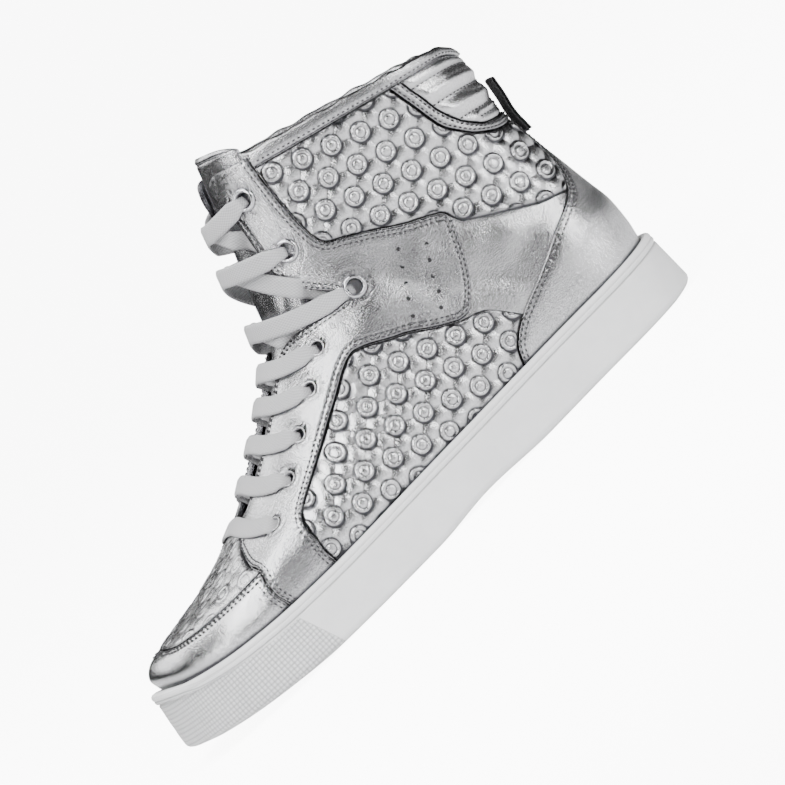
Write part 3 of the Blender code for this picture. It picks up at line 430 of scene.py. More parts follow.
def crease_height(places):
    """How far the creases move the leather in or out at each place."""
    total = np.zeros(len(places))
    for turn_a, up_a, turn_b, up_b, width, depth in CREASES:
        for side in (1, -1):
            ends = skin(np.array([up_a, up_b]), side * np.array([turn_a, turn_b]))
            way = ends[1] - ends[0]
            share = np.clip(((places - ends[0]) @ way) / (way @ way), 0, 1)
            gap = np.linalg.norm(places - ends[0] - share[:, None] * way, axis=1)
            fade = 0.35 + 0.65 * np.sin(np.pi * np.clip(share, 0.02, 0.98))
            total -= depth * MM * fade * bell(gap / (width * MM))
    return total

# %% [markdown]
# A last is close to the same on both sides. A piece across the toe or the heel is
# therefore cut once, mirrored and joined at the middle line, like folded paper.

# %% The middle line
def both_halves(chart, faces):
    mirrored = chart * MIRROR
    return np.vstack([chart, mirrored]), np.vstack([faces, faces[:, ::-1] + len(chart)])


def real_edges(edges):
    """The edges that are cut, not the lines where the two halves meet."""
    turn = np.abs(edges[:, 0])
    return edges[(turn > 1e-3) & (np.abs(turn - 1) > 1e-3)]


def snap(chart):
    """Places next to the toe's or heel's middle line go onto it, so that the halves meet."""
    for line in (0.0, 1.0):
        chart[np.abs(chart[:, 0] - line) < 2e-4, 0] = line
    chart[:, 0] = np.clip(chart[:, 0], 0.0, 1.0)
    return chart

# %% [markdown]
# The cut edge of real leather is thin and rolls down to the layer below. A bevel or a
# solidify modifier gives an even rim. Here the height comes from the distance to the
# edge, so the roll, the sewing grooves and the embossing fade into each other.

# %% One panel of leather
MIRROR = np.array([-1, 1])
# A line of painted shade along each cut edge, a softer painted shadow beside it, and a line of painted
# shade in each sewing groove.
EDGE_ROLL, EDGE_DARK, EDGE_DARK_WIDTH, EDGE_SHADE_WIDTH = 0.0009, 0.9, 0.0006, 0.0022
GROOVE_DARK, CREASE_START = 0.30, 0.003


def leather(name, loop, sides="both", spacing=0.0014, holes=(), face=PANEL_FACE,
            foot=WALL_FACE - 0.0002, grooves=(), relief=None, fade=0.0022, edge_shade=0.18):
    """A panel: cut on the chart, laid on the last, its edge rolled down and stitched in.
    sides is both for a piece across the toe or heel, or 1 or -1 for one side. relief
    gives the raised pattern, its painted shadows, and the distance and strength for the
    painted shade rings round its buttons. edge_shade is the strength of the painted
    shadow beside the edge."""
    chart, faces, edges = fill_pattern(loop, spacing, holes)
    chart, edges = snap(chart), real_edges(edges)
    if sides == "both":
        chart, faces = both_halves(chart, faces)
        edges = np.vstack([edges, edges * MIRROR])
    elif sides < 0:
        chart, edges, faces = chart * MIRROR, edges * MIRROR, faces[:, ::-1]
    place, normal, _, climb = last_frame(chart[:, 1], chart[:, 0])
    place = place + SHIFT
    gap = near_distance(place, skin(edges[:, 1], edges[:, 0]))
    share = np.clip(gap / EDGE_ROLL, 0, 1)
    height = foot + (face - foot) * np.sqrt(np.clip(1 - (1 - share) ** 2, 0, 1))
    # Painted shade at the cut edge and a painted shadow beside it, kept in the piece's shade layer.
    shade = EDGE_DARK * bell(gap / EDGE_DARK_WIDTH) + edge_shade * np.exp(-gap / EDGE_SHADE_WIDTH)
    # Each groove is pressed in and gets a line of painted shade.
    for groove, width, depth in grooves:
        height -= depth * bell((gap - groove) / width)
        shade += GROOVE_DARK * bell((gap - groove) / (width * 0.9))
    ease = soft_step(gap, fade)
    height += crease_height(place) * np.clip(gap / CREASE_START, 0.2, 1)
    if relief is not None:
        # The relief gives its raised height and a painted shadow under each button.
        raised, dark, button_gap, depth = relief(place, chart)
        height += ease * raised
        shade += ease * dark
    piece = new_piece(name, place + normal * height[:, None], faces)
    add_layer(piece, "shade", np.clip(shade, 0, 1))
    add_layer(piece, "rise", 1 + chart[:, 1] * np.linalg.norm(climb, axis=1))
    if relief is not None:
        add_layer(piece, "button gap", button_gap)
        add_layer(piece, "button ring shade", depth * ease)
    weld(piece)
    print(name, len(piece.data.polygons), "triangles")
    return piece


# %% [markdown]
# ## The pattern lines
# These lines are the edges of the panels, read from the photo on the chart.
# Neighbours share a line, so they always meet.

# %% Edges of the panels
FRONT_LINE = smooth_line([
    (0.295, -0.04), (0.290, 0.06), (0.275, 0.14), (0.262, 0.175), (0.240, 0.21),
    (0.170, 0.295), (0.115, 0.345), (0.075, 0.380), (0.045, 0.400), (0.0, 0.405),
])
TOE_LINE = smooth_line([
    (0.0, 0.165), (0.050, 0.155), (0.100, 0.150), (0.160, 0.155), (0.215, 0.165), (0.262, 0.175),
])
EYE_LOWER = smooth_line([
    (0.365, -0.04), (0.360, 0.10), (0.340, 0.18), (0.322, 0.24), (0.318, 0.29), (0.320, 0.37),
    (0.328, 0.43), (0.342, 0.475), (0.355, 0.515), (0.372, 0.530), (0.392, 0.520),
    (0.425, 0.490), (0.465, 0.445), (0.510, 0.390), (0.560, 0.310), (0.600, 0.245),
])
WING_END = smooth_line([
    (0.600, 0.245), (0.617, 0.238), (0.626, 0.280), (0.631, 0.340), (0.632, 0.420),
    (0.632, 0.500), (0.628, 0.560), (0.610, 0.600),
])
EYE_REAR = smooth_line([
    (0.610, 0.600), (0.580, 0.635), (0.525, 0.685), (0.455, 0.745), (0.390, 0.785),
    (0.350, 0.803), (0.328, 0.825), (0.310, 0.860), (0.282, 0.930), (0.262, 0.985),
])
QUARTER_REAR = smooth_line([(0.600, 0.245), (0.635, 0.200), (0.655, 0.155), (0.675, 0.103)])
COUNTER_LINE = smooth_line([
    (0.640, -0.04), (0.645, 0.040), (0.655, 0.075), (0.675, 0.103), (0.715, 0.136),
    (0.750, 0.165), (0.790, 0.198), (0.835, 0.225), (0.865, 0.252), (0.888, 0.290),
    (0.910, 0.340), (0.925, 0.400), (0.928, 0.490), (0.920, 0.560), (0.913, 0.598),
])
ANKLE_LOWER = smooth_line([
    (0.628, 0.560), (0.648, 0.505), (0.675, 0.465), (0.715, 0.408), (0.760, 0.344),
    (0.800, 0.292), (0.858, 0.245),
])
STRIP_OUTER = smooth_line([
    (0.630, 0.9675), (0.645, 0.930), (0.660, 0.890), (0.675, 0.850), (0.695, 0.800),
    (0.725, 0.755), (0.765, 0.700), (0.825, 0.640), (0.870, 0.610), (0.913, 0.598), (1.0, 0.598),
])
STRIP_INNER = smooth_line([
    (0.663, 0.9670), (0.670, 0.945), (0.685, 0.905), (0.705, 0.850), (0.735, 0.790),
    (0.770, 0.740), (0.815, 0.690), (0.870, 0.660), (0.913, 0.650), (1.0, 0.648),
])

# %% [markdown]
# The collar dips softly at the back so that the ankle can bend. The throat is the
# opening over the tongue, with three rings and five plain holes on each side.

# %% Collar, throat and lace holes
COLLAR_UP, COLLAR_DIP, DIP_START = 0.988, 0.045, 0.80


def collar_up(turn):
    """How far up the foot the collar's edge runs. It dips round the back."""
    side = np.abs((np.asarray(turn, float) + 1) % 2 - 1)
    return COLLAR_UP - COLLAR_DIP * soft_step(side - DIP_START, 1 - DIP_START)


seam_turns = np.linspace(0.262, 1.0, 60)
SEAM_LINE = np.stack([seam_turns, collar_up(seam_turns) - 0.014 - 0.010 * seam_turns], axis=1)
THROAT_LINE = smooth_line([
    (0.0, 0.418), (0.026, 0.430), (0.046, 0.460), (0.058, 0.530), (0.064, 0.620), (0.074, 0.680),
    (0.105, 0.712), (0.170, 0.720), (0.250, 0.705), (0.315, 0.690), (0.352, 0.683),
    (0.305, 0.730), (0.245, 0.772), (0.205, 0.797), (0.180, 0.829), (0.160, 0.875),
    (0.140, 0.920), (0.115, 0.945), (0.092, 0.965), (0.105, 0.982), (0.140, 0.988),
])
RING_PLACES = [(0.200, 0.945), (0.250, 0.842), (0.380, 0.680)]
HOLE_PLACES = [(0.260, 0.645), (0.248, 0.570), (0.235, 0.488), (0.232, 0.402), (0.240, 0.305)]
RING_HOLE, LACE_HOLE = 0.0036, 0.0025

# %% Cutting the holes
def hole_loop(turn, up, radius):
    """A round hole on the leather, as chart places."""
    _, _, ahead, climb = last_frame(up, turn)
    angles = round_angles(24)
    way = ahead[0] / np.linalg.norm(ahead[0])
    side = climb[0] - way * (climb[0] @ way)
    side /= np.linalg.norm(side)
    moves = radius * (np.cos(angles)[:, None] * way + np.sin(angles)[:, None] * side)
    grid = np.stack([ahead[0], climb[0]], axis=1)
    answer = np.linalg.lstsq(grid, moves.T, rcond=None)[0].T
    return np.array([turn, up]) + answer


def upto(line, last_up):
    return line[line[:, 1] <= last_up + 1e-9]


LACE_HOLES = [hole_loop(turn, up, RING_HOLE) for turn, up in RING_PLACES]
LACE_HOLES += [hole_loop(turn, up, LACE_HOLE) for turn, up in HOLE_PLACES]
print(len(LACE_HOLES), "lace holes a side")


# %% [markdown]
# ## Materials
# The leather is a foil-coated one, so it shines like dull metal and shows every dent.
# An image of leather would repeat and blur near by. Noise and cells never do, so the
# grain, weave and wear are made of them, in small node groups that materials share.

# %% Node helpers
def node_group(name, outputs, inputs):
    group = bpy.data.node_groups.new(name, "ShaderNodeTree")
    for label, value in inputs:
        socket = group.interface.new_socket(name=label, in_out="INPUT", socket_type="NodeSocketFloat")
        socket.default_value = value
    for label in outputs:
        group.interface.new_socket(name=label, in_out="OUTPUT", socket_type="NodeSocketFloat")
    return group, group.nodes.new("NodeGroupInput"), group.nodes.new("NodeGroupOutput")


def link(tree, start, finish):
    tree.links.new(start, finish)


def feed(tree, value, socket):
    """A plain value goes on the socket itself, and a node's output is linked to it."""
    if isinstance(value, bpy.types.NodeSocket):
        link(tree, value, socket)
    else:
        socket.default_value = value


def math_node(tree, operation, first, second=0.0):
    node = tree.nodes.new("ShaderNodeMath")
    node.operation = operation
    feed(tree, first, node.inputs[0])
    feed(tree, second, node.inputs[1])
    return node.outputs[0]


def times(tree, first, second):
    return math_node(tree, "MULTIPLY", first, second)


def plus(tree, first, second):
    return math_node(tree, "ADD", first, second)

# %% [markdown]
# A material can read values that a piece carries, such as the distance to a seam. Read
# at each pixel they give crisp lines, where colours on the points would blur.

# %% Textures and what a piece carries
def noise(tree, coords, scale, detail=3.0, rough=0.55):
    node = tree.nodes.new("ShaderNodeTexNoise")
    node.inputs["Detail"].default_value = detail
    node.inputs["Roughness"].default_value = rough
    node.inputs["Scale"].default_value = scale
    link(tree, coords, node.inputs["Vector"])
    return node.outputs[0]


def object_coords(tree):
    return tree.nodes.new("ShaderNodeTexCoord").outputs["Object"]


def attribute(tree, name):
    node = tree.nodes.new("ShaderNodeAttribute")
    node.attribute_name = name
    return node.outputs["Fac"]


def flat_map(tree, name):
    """The two directions of a piece's own UV map."""
    uv = tree.nodes.new("ShaderNodeUVMap")
    uv.uv_map = name
    parts = tree.nodes.new("ShaderNodeSeparateXYZ")
    link(tree, uv.outputs["UV"], parts.inputs[0])
    return parts.outputs[0], parts.outputs[1]

# %% Grain and weave
def make_grain():
    """Leather grain: small cells, fine wrinkles and slow dents. Puts out a height, a mask
    for wear and a fine speckle."""
    group, inside_in, out = node_group(
        "leather grain", ["Height", "Wear", "Speckle"], [("Cell Scale", 900.0), ("Wrinkle", 0.5)],
    )
    coords = object_coords(group)
    cells = group.nodes.new("ShaderNodeTexVoronoi")
    cells.feature = "F1"
    link(group, coords, cells.inputs["Vector"])
    link(group, inside_in.outputs["Cell Scale"], cells.inputs["Scale"])
    fine = noise(group, coords, 2300.0, 3.0, 0.7)
    slow = noise(group, coords, 110.0, 4.0, 0.6)
    ridge = math_node(group, "ABSOLUTE", math_node(group, "SUBTRACT", slow, 0.5))
    height = plus(group, times(group, cells.outputs["Distance"], 0.35), times(group, fine, 0.7))
    height = plus(group, height, times(group, ridge, inside_in.outputs["Wrinkle"]))
    link(group, fine, out.inputs["Speckle"])
    link(group, height, out.inputs["Height"])
    link(group, noise(group, coords, 45.0, 5.0, 0.65), out.inputs["Wear"])
    return group


def make_weave():
    """A plain weave for laces, webbing and lining."""
    names = ("Across", "Along")
    group, inside_in, out = node_group("weave", ["Height", "Shade"], [(name, 900.0) for name in names])
    waves = []
    for way, name in zip(flat_map(group, "cloth"), names):
        waves.append(math_node(group, "SINE", times(group, way, inside_in.outputs[name])))
    height = plus(group, times(group, times(group, *waves), 0.5), 0.5)
    link(group, height, out.inputs["Height"])
    link(group, height, out.inputs["Shade"])
    return group


BUTTON_RADIUS = 0.0036
GRAIN = make_grain()
WEAVE = make_weave()

# %% Materials, bumps and masks
def new_material(name, colour, rough, metallic=0.0, coat=0.0):
    made = bpy.data.materials.new(name)
    made.use_nodes = True
    shader = made.node_tree.nodes["Principled BSDF"]
    shader.inputs["Base Color"].default_value = (*colour, 1.0)
    shader.inputs["Roughness"].default_value = rough
    shader.inputs["Metallic"].default_value = metallic
    shader.inputs["Coat Weight"].default_value = coat
    shader.inputs["Coat Roughness"].default_value = 0.25
    return made, made.node_tree, shader


def add_bump(tree, shader, height, strength, distance):
    bump = tree.nodes.new("ShaderNodeBump")
    bump.inputs["Strength"].default_value = strength
    bump.inputs["Distance"].default_value = distance
    link(tree, height, bump.inputs["Height"])
    link(tree, bump.outputs[0], shader.inputs["Normal"])
    return bump


def stretch(tree, value, low, high, to_low=0.0, to_high=1.0):
    """A mask that runs from to_low to to_high as the value runs from low to high."""
    node = tree.nodes.new("ShaderNodeMapRange")
    limits = {"From Min": low, "From Max": high, "To Min": to_low, "To Max": to_high}
    for name, limit in limits.items():
        node.inputs[name].default_value = limit
    link(tree, value, node.inputs["Value"])
    return node.outputs[0]


def spread(tree, value, low, high):
    """Noise stays near its middle, so its 0.3 to 0.7 is stretched over low to high."""
    return stretch(tree, value, 0.3, 0.7, low, high)


def mix_colours(tree, mask, first, second):
    """first where the mask is 0, second where it is 1. Either may be a node's output."""
    node = tree.nodes.new("ShaderNodeMix")
    node.data_type = "RGBA"
    for place, colour in ((6, first), (7, second)):
        feed(tree, (*colour, 1.0) if isinstance(colour, tuple) else colour, node.inputs[place])
    link(tree, mask, node.inputs[0])
    return node.outputs[2]


def ring_mask(tree, value, middle, width, strength=1.0):
    """Full strength where the value meets the middle, falling softly to nothing."""
    off = math_node(tree, "DIVIDE", math_node(tree, "SUBTRACT", value, middle), width)
    fall = math_node(tree, "EXPONENT", times(tree, times(tree, off, off), -1.0))
    return times(tree, fall, strength)

# %% [markdown]
# Foil leather is one bright metal with a fine speckle. Painted shade darkens its edges and
# grooves, round each button and at the foot, where shadow falls.

# %% Leather
# The colour of all painted shade, the painted shade rings round each button, and the painted shade line
# at the foot.
PAINTED_SHADE_COLOUR = (0.05, 0.05, 0.055)
OUTER_RING, INNER_RING = (BUTTON_RADIUS * 1.12, 0.00055), (BUTTON_RADIUS * 0.58, 0.00032, 0.75)
FOOT_LINE = (1.0003, 0.0009, 0.9)


def leather_material(name, bright, dark, rough, wrinkle=0.25, bump=0.45):
    """Foil leather. Painted shade darkens its edges and grooves, the rings round the buttons
    and the line at the sole, and each is worked out per pixel from a distance that the piece carries."""
    made, tree, shader = new_material(name, bright, rough, 1.0, 0.15)
    grain = tree.nodes.new("ShaderNodeGroup")
    grain.node_tree = GRAIN
    grain.inputs["Wrinkle"].default_value = wrinkle
    grain.inputs["Cell Scale"].default_value = 1300.0
    foil = mix_colours(tree, stretch(tree, grain.outputs["Speckle"], 0.40, 0.58), bright, dark)
    # Painted shade: the piece's shade layer, rings round each button and a line at the foot.
    gap = attribute(tree, "button gap")
    rings = plus(tree, ring_mask(tree, gap, *OUTER_RING), ring_mask(tree, gap, *INNER_RING))
    rings = times(tree, rings, attribute(tree, "button ring shade"))
    rings = plus(tree, rings, ring_mask(tree, attribute(tree, "rise"), *FOOT_LINE))
    painted_shade = math_node(tree, "MINIMUM", plus(tree, attribute(tree, "shade"), rings), 1.0)
    link(tree, mix_colours(tree, painted_shade, foil, PAINTED_SHADE_COLOUR), shader.inputs["Base Color"])
    worn = spread(tree, grain.outputs["Wear"], rough - 0.04, rough + 0.06)
    link(tree, worn, shader.inputs["Roughness"])
    # Slow waves in the hide bend the reflections, and the grain lies on top of them.
    waves = tree.nodes.new("ShaderNodeBump")
    waves.inputs["Distance"].default_value = 0.003
    link(tree, noise(tree, object_coords(tree), 28.0, 1.5, 0.5), waves.inputs["Height"])
    fine = add_bump(tree, shader, grain.outputs["Height"], bump, 0.0004)
    link(tree, waves.outputs[0], fine.inputs["Normal"])
    return made

# %% Cloth
def cloth_material(name, colour, shade, rough, across, along, bump=0.6):
    made, tree, shader = new_material(name, colour, rough)
    weave = tree.nodes.new("ShaderNodeGroup")
    weave.node_tree = WEAVE
    weave.inputs["Across"].default_value = across
    weave.inputs["Along"].default_value = along
    link(tree, mix_colours(tree, weave.outputs["Shade"], shade, colour), shader.inputs["Base Color"])
    add_bump(tree, shader, weave.outputs["Height"], bump, 0.0003)
    return made

# %% [markdown]
# The smooth parts are darker than the embossed ones in the photo, because they reflect
# one direction only, so the smooth silver's base colour is painted darker, as painted
# shade. Four leathers share the same grain and differ in gloss, and in tone that is
# partly their own and partly this painted shade.

# %% The materials of the upper
# The smooth silver's darker base colour is painted shade.
SILVER = leather_material("silver leather", (0.66, 0.66, 0.67), (0.28, 0.28, 0.29), 0.24)
EMBOSSED = leather_material(
    "embossed silver leather", (0.88, 0.88, 0.89), (0.48, 0.48, 0.49), 0.24, 0.4, 0.4,
)
PALE = leather_material("pale silver leather", (0.86, 0.86, 0.87), (0.38, 0.38, 0.39), 0.22)
CUFF = leather_material("cuff leather", (0.92, 0.92, 0.93), (0.56, 0.56, 0.57), 0.25, 0.5, 0.4)
THREAD, _, _ = new_material("dark grey thread", (0.035, 0.035, 0.037), 0.6)
STEEL, steel_tree, steel_shader = new_material("eyelet metal", (0.55, 0.55, 0.57), 0.22, 1.0)
steel_wear = noise(steel_tree, object_coords(steel_tree), 600.0)
link(steel_tree, spread(steel_tree, steel_wear, 0.16, 0.32), steel_shader.inputs["Roughness"])
LACE = cloth_material("lace", (0.55, 0.55, 0.56), (0.34, 0.34, 0.35), 0.75, 5200.0, 3600.0)
WEBBING = cloth_material(
    "black webbing", (0.035, 0.035, 0.037), (0.008, 0.008, 0.009), 0.7, 2400.0, 3200.0, 0.8,
)
LINING = cloth_material("sock lining", (0.50, 0.50, 0.52), (0.38, 0.38, 0.40), 0.9, 3000.0, 3000.0)
print(len(bpy.data.materials), "materials")

# %% [markdown]
# The cup is moulded white rubber, a little uneven in tone. The toe has a fine grid of
# studs. As geometry they would cost tens of thousands of faces, so a bump shows them.

# %% Rubber
TOE_GRID, GRID_START, GRID_EDGE = 0.0017, 0.0052, 0.0003
# The colour of the painted shade between the toe's studs and in the lip's grooves.
RUBBER_SHADE_COLOUR = (0.40, 0.40, 0.41)
# Depth under the lip's top, width and strength of two lines of painted shade in its grooves.
LIP_LINES = ((0.0046, 0.0003, 0.8), (0.0024, 0.0002, 0.35))


def rubber_material():
    """White rubber. The toe's mask raises a fine grid of small studs with painted shade in
    the gaps between them, and two fine lines of painted shade run round under the lip,
    in its grooves."""
    made, tree, shader = new_material("white rubber", (0.80, 0.81, 0.82), 0.42, 0.0, 0.1)
    coords = object_coords(tree)
    mask = spread(tree, noise(tree, coords, 60.0, 5.0, 0.7), 0.0, 1.0)
    white = mix_colours(tree, mask, (0.92, 0.922, 0.925), (0.84, 0.845, 0.85))
    link(tree, spread(tree, noise(tree, coords, 300.0, 4.0), 0.36, 0.55), shader.inputs["Roughness"])
    waves = []
    for way in flat_map(tree, "round"):
        wave = math_node(tree, "SINE", times(tree, times(tree, way, 2 * math.pi / TOE_GRID), 0.5))
        waves.append(math_node(tree, "POWER", math_node(tree, "ABSOLUTE", wave), 0.35))
    grid = times(tree, *waves)
    deep = attribute(tree, "deep")
    toe_mask = times(
        tree, stretch(tree, attribute(tree, "toe side"), 0.0, 0.0004),
        stretch(tree, deep, GRID_START, GRID_START + GRID_EDGE),
    )
    fine = times(tree, noise(tree, coords, 900.0, 3.0), 0.12)
    add_bump(tree, shader, plus(tree, times(tree, grid, toe_mask), fine), 1.0, 0.0006)
    # Painted shade in the gaps between the studs, and in the two grooves under the lip.
    gaps = times(tree, math_node(tree, "SUBTRACT", 1.0, grid), toe_mask)
    lines = plus(tree, *[ring_mask(tree, deep, *line) for line in LIP_LINES])
    dark = plus(tree, times(tree, gaps, 0.9), lines)
    link(tree, mix_colours(tree, dark, white, RUBBER_SHADE_COLOUR), shader.inputs["Base Color"])
    return made


RUBBER = rubber_material()

# %% What every piece needs
def finish_piece(piece, material, slot, *nodes, fill=None):
    """Its material, the CAD nodes it stands for, and the body it rides on. slot is not used."""
    piece.data.materials.clear()
    piece.data.materials.append(material)
    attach(piece, "root")
    if nodes:
        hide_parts(*nodes)
    return piece


# %% [markdown]
# ## The wall and its lining
# The wall is the hidden layer that all panels are sewn to. It shows only at the smooth
# quarter behind the wing. A solidify modifier would give both of its faces at once. They
# are made one by one here, because the lining is cloth and the wall is leather.

# %% Wall and lining
HALF_BASE = np.vstack([
    [(0.0, -0.085), (0.25, -0.085), (0.5, -0.085), (0.75, -0.085), (1.0, -0.085)],
    [(1.0, 0.3), (1.0, 0.6)], np.stack([seam_turns, collar_up(seam_turns)], axis=1)[::-1],
    THROAT_LINE[::-1],
])


def plain_shell(name, height, material, slot, *nodes):
    """The wall's outside or inside: one even skin with the throat and the holes cut out."""
    chart, faces, _ = fill_pattern(HALF_BASE, 0.0018, LACE_HOLES, rings=(0.0008,))
    chart, faces = both_halves(snap(chart), faces)
    place, normal, _, _ = last_frame(chart[:, 1], chart[:, 0])
    place = place + SHIFT
    moved = place + normal * (height + crease_height(place))[:, None]
    piece = new_piece(name, moved, faces)
    weld(piece)
    print(name, len(piece.data.polygons), "triangles")
    return finish_piece(piece, material, slot, *nodes)


plain_shell("upper wall", WALL_FACE, PALE, "silver_leather", "upper")
plain_shell("upper lining", WALL_BACK, LINING, "sock_grey")

# %% [markdown]
# ## Smooth panels
# The toe rand, the eyestay with its wing, the heel counter and the curved strip under
# the cuff are cut from smooth leather. Thread pulls each of them down along its seams.
# A bump could show that, but real grooves catch the light at the edge of the shoe too.

# %% Smooth panels
ROW_ONE, ROW_TWO = 0.0012, 0.0028
DOUBLE_ROWS = ((ROW_ONE, 0.00045, 0.00030), (ROW_TWO, 0.00045, 0.00030))
RAND_LOOP = np.vstack([
    TOE_LINE, upto(FRONT_LINE, 0.175)[::-1][1:], [(0.20, -0.04), (0.10, -0.04), (0.0, -0.04)],
])
VAMP_LOOP = np.vstack([TOE_LINE, FRONT_LINE[FRONT_LINE[:, 1] >= 0.175]])
toe_rand = leather("toe rand leather", RAND_LOOP, spacing=0.0012, grooves=DOUBLE_ROWS)
finish_piece(toe_rand, PALE, "silver_leather", "toe_rand")

EYE_LOOP = np.vstack([
    FRONT_LINE[::-1], [(0.33, -0.04)], EYE_LOWER, WING_END[1:], EYE_REAR[1:],
    [(0.262, 0.988), (0.20, 0.988)], THROAT_LINE[::-1],
])
eyestay = leather(
    "eyestay leather", EYE_LOOP, spacing=0.0012, holes=LACE_HOLES, face=PANEL_FACE + 0.0004,
    foot=WALL_BACK + 0.0012, grooves=DOUBLE_ROWS,
)
finish_piece(eyestay, SILVER, "silver_leather", "eyestay")

COUNTER_LOOP = np.vstack([COUNTER_LINE, [(1.0, 0.598), (1.0, 0.3), (1.0, -0.04), (0.8, -0.04)]])
heel_counter = leather("heel counter leather", COUNTER_LOOP, spacing=0.0012, grooves=DOUBLE_ROWS)
finish_piece(heel_counter, PALE, "pale_silver_leather", "heel_counter")

STRIP_LOOP = np.vstack([STRIP_OUTER, STRIP_INNER[::-1]])
cuff_strip = leather(
    "cuff strip leather", STRIP_LOOP, spacing=0.0008, face=PANEL_FACE + 0.0003, grooves=DOUBLE_ROWS[:1],
)
finish_piece(cuff_strip, SILVER, "silver_leather", "cuff_strip")

# %% [markdown]
# ## Embossed panels
# The quarter, ankle and vamp panels are pressed in a heated mould, which leaves rows of
# raised shapes. Here they are plain round buttons in a triangular layout. An array of
# discs would sit on the leather like studs. Moving its own points keeps it one skin.

# %% The lattice of buttons
CELL_PITCH, CELL_RISE = 0.0124, 0.0013
BUTTON_EDGE = 0.000175
PUFF_RISE, PUFF_RADIUS = 0.0010, 0.0034


def lattice_gap(flat, offset):
    """Distance to the nearest place of a triangular lattice, and the way from it."""
    row_height = CELL_PITCH * math.sqrt(3) / 2
    flat = flat - offset
    best, way = np.full(len(flat), 1e9), np.zeros((len(flat), 2))
    base_row = np.round(flat[:, 1] / row_height)
    for step in (-1, 0, 1):
        row = base_row + step
        shift = 0.5 * CELL_PITCH * (row % 2)
        x = np.round((flat[:, 0] - shift) / CELL_PITCH) * CELL_PITCH + shift
        off = flat - np.stack([x, row * row_height], axis=1)
        gap = np.hypot(off[:, 0], off[:, 1])
        way = np.where((gap < best)[:, None], off / (gap + 1e-9)[:, None], way)
        best = np.minimum(best, gap)
    return best, way


def buttons(flat, rise, down):
    """Round raised buttons with a dished middle, and a small puff between each three.
    Gives the height, the painted shadow under each button, and the distance to its middle."""
    gap, way = lattice_gap(flat, np.zeros(2))
    disc = 1 / (1 + np.exp((gap - BUTTON_RADIUS) / BUTTON_EDGE))
    dish = 0.55 * bell((gap - BUTTON_RADIUS * 0.60) / 0.0005)
    third = CELL_PITCH / math.sqrt(3)
    centres = np.array([(CELL_PITCH / 2, third / 2), (0, third)])
    puff = np.minimum(*[lattice_gap(flat, centre)[0] for centre in centres])
    small = PUFF_RISE * np.exp(-((puff / PUFF_RADIUS) ** 2.6))
    # Painted shadow on the lower side of each button, the side that down points to.
    under = np.clip(way @ down, 0, 1) ** 1.5
    shadow = 0.75 * under * bell((gap - BUTTON_RADIUS * 1.28) / 0.0009)
    return rise * disc * (1 - dish) + small * rise / CELL_RISE, shadow, gap

# %% [markdown]
# The sides are pressed flat, so their lattice is laid on the view from the side. The
# vamp is round, and its lattice is wrapped round it, or the buttons would stretch.

# %% Relief on the sides and the vamp
PATTERN_TURN = 0.35
cosine, sine = math.cos(PATTERN_TURN), math.sin(PATTERN_TURN)
TURNED = np.array([[cosine, -sine], [sine, cosine]])
# DOWN points to the side of each button where its painted shadow lies.
DOWN = np.array([0.0, -1.0]) @ TURNED


def side_relief(place, chart):
    """The side panels are seen flat from the side, with the rows turned a little."""
    raised, shadow, gap = buttons(place[:, [0, 2]] @ TURNED, CELL_RISE, DOWN)
    # 0.95 is the strength of the painted shade rings round the side panels' buttons.
    return raised - CELL_RISE * 0.25, shadow, gap, 0.95


VAMP_SLOPE, VAMP_OUT = np.array([-0.80, 0.60]), np.array([0.60, 0.80])
VAMP_DEPTH, VAMP_RADIUS = 0.046, 0.044


def vamp_relief(place, chart):
    """The vamp is unrolled round its own slope, so that its cells keep their shape."""
    along = place[:, [0, 2]] @ VAMP_SLOPE
    depth = place[:, [0, 2]] @ VAMP_OUT
    angle = np.arctan2(place[:, 1], depth - depth.max() + VAMP_DEPTH)
    flat = np.stack([along, angle * VAMP_RADIUS], axis=1)
    raised, shadow, gap = buttons(flat, CELL_RISE * 0.30, np.array([-1.0, 0.0]))
    # The vamp's painted shadow and painted shade rings are weaker.
    return raised - CELL_RISE * 0.15, 0.3 * shadow, gap, 0.45

# %% The embossed pieces
# The vamp's edges get a lighter painted shadow than the side panels'.
vamp_panel = leather(
    "vamp leather", VAMP_LOOP, spacing=0.0007, relief=vamp_relief, grooves=DOUBLE_ROWS[:1],
    edge_shade=0.35,
)
finish_piece(vamp_panel, EMBOSSED, "silver_leather", "vamp_panel")

QUARTER_LOOP = np.vstack([
    EYE_LOWER, QUARTER_REAR[1:], COUNTER_LINE[COUNTER_LINE[:, 0] <= 0.675][::-1][1:], [(0.5, -0.04)],
])
ANKLE_LOOP = np.vstack([
    EYE_REAR, SEAM_LINE[(SEAM_LINE[:, 0] > 0.27) & (SEAM_LINE[:, 0] < 0.625)],
    STRIP_OUTER[STRIP_OUTER[:, 0] <= 0.914], COUNTER_LINE[COUNTER_LINE[:, 1] >= 0.252][::-1][1:],
    ANKLE_LOWER[::-1], WING_END[WING_END[:, 1] > 0.565],
])
SIDES = ((1, "outer"), (-1, "inner"))
# edge_shade is the strength of the painted shadow beside each side panel's edges.
for side, word in SIDES:
    for part, loop, edge_shade in (("quarter", QUARTER_LOOP, 0.7), ("ankle", ANKLE_LOOP, 0.6)):
        panel = leather(
            f"{word} {part} panel", loop, side, 0.0006, relief=side_relief, edge_shade=edge_shade,
        )
        finish_piece(panel, EMBOSSED, "pale_silver_leather", f"{part}_panel_{word}")

# %% [markdown]
# ## The padded cuff
# Foam under thin leather, sewn down along four lines, so it swells between them. Three
# more lines are only soft creases. A cloth simulation with pins could blow it up, but it
# would need care at the edges, and the distance to the nearest seam gives the same swell.

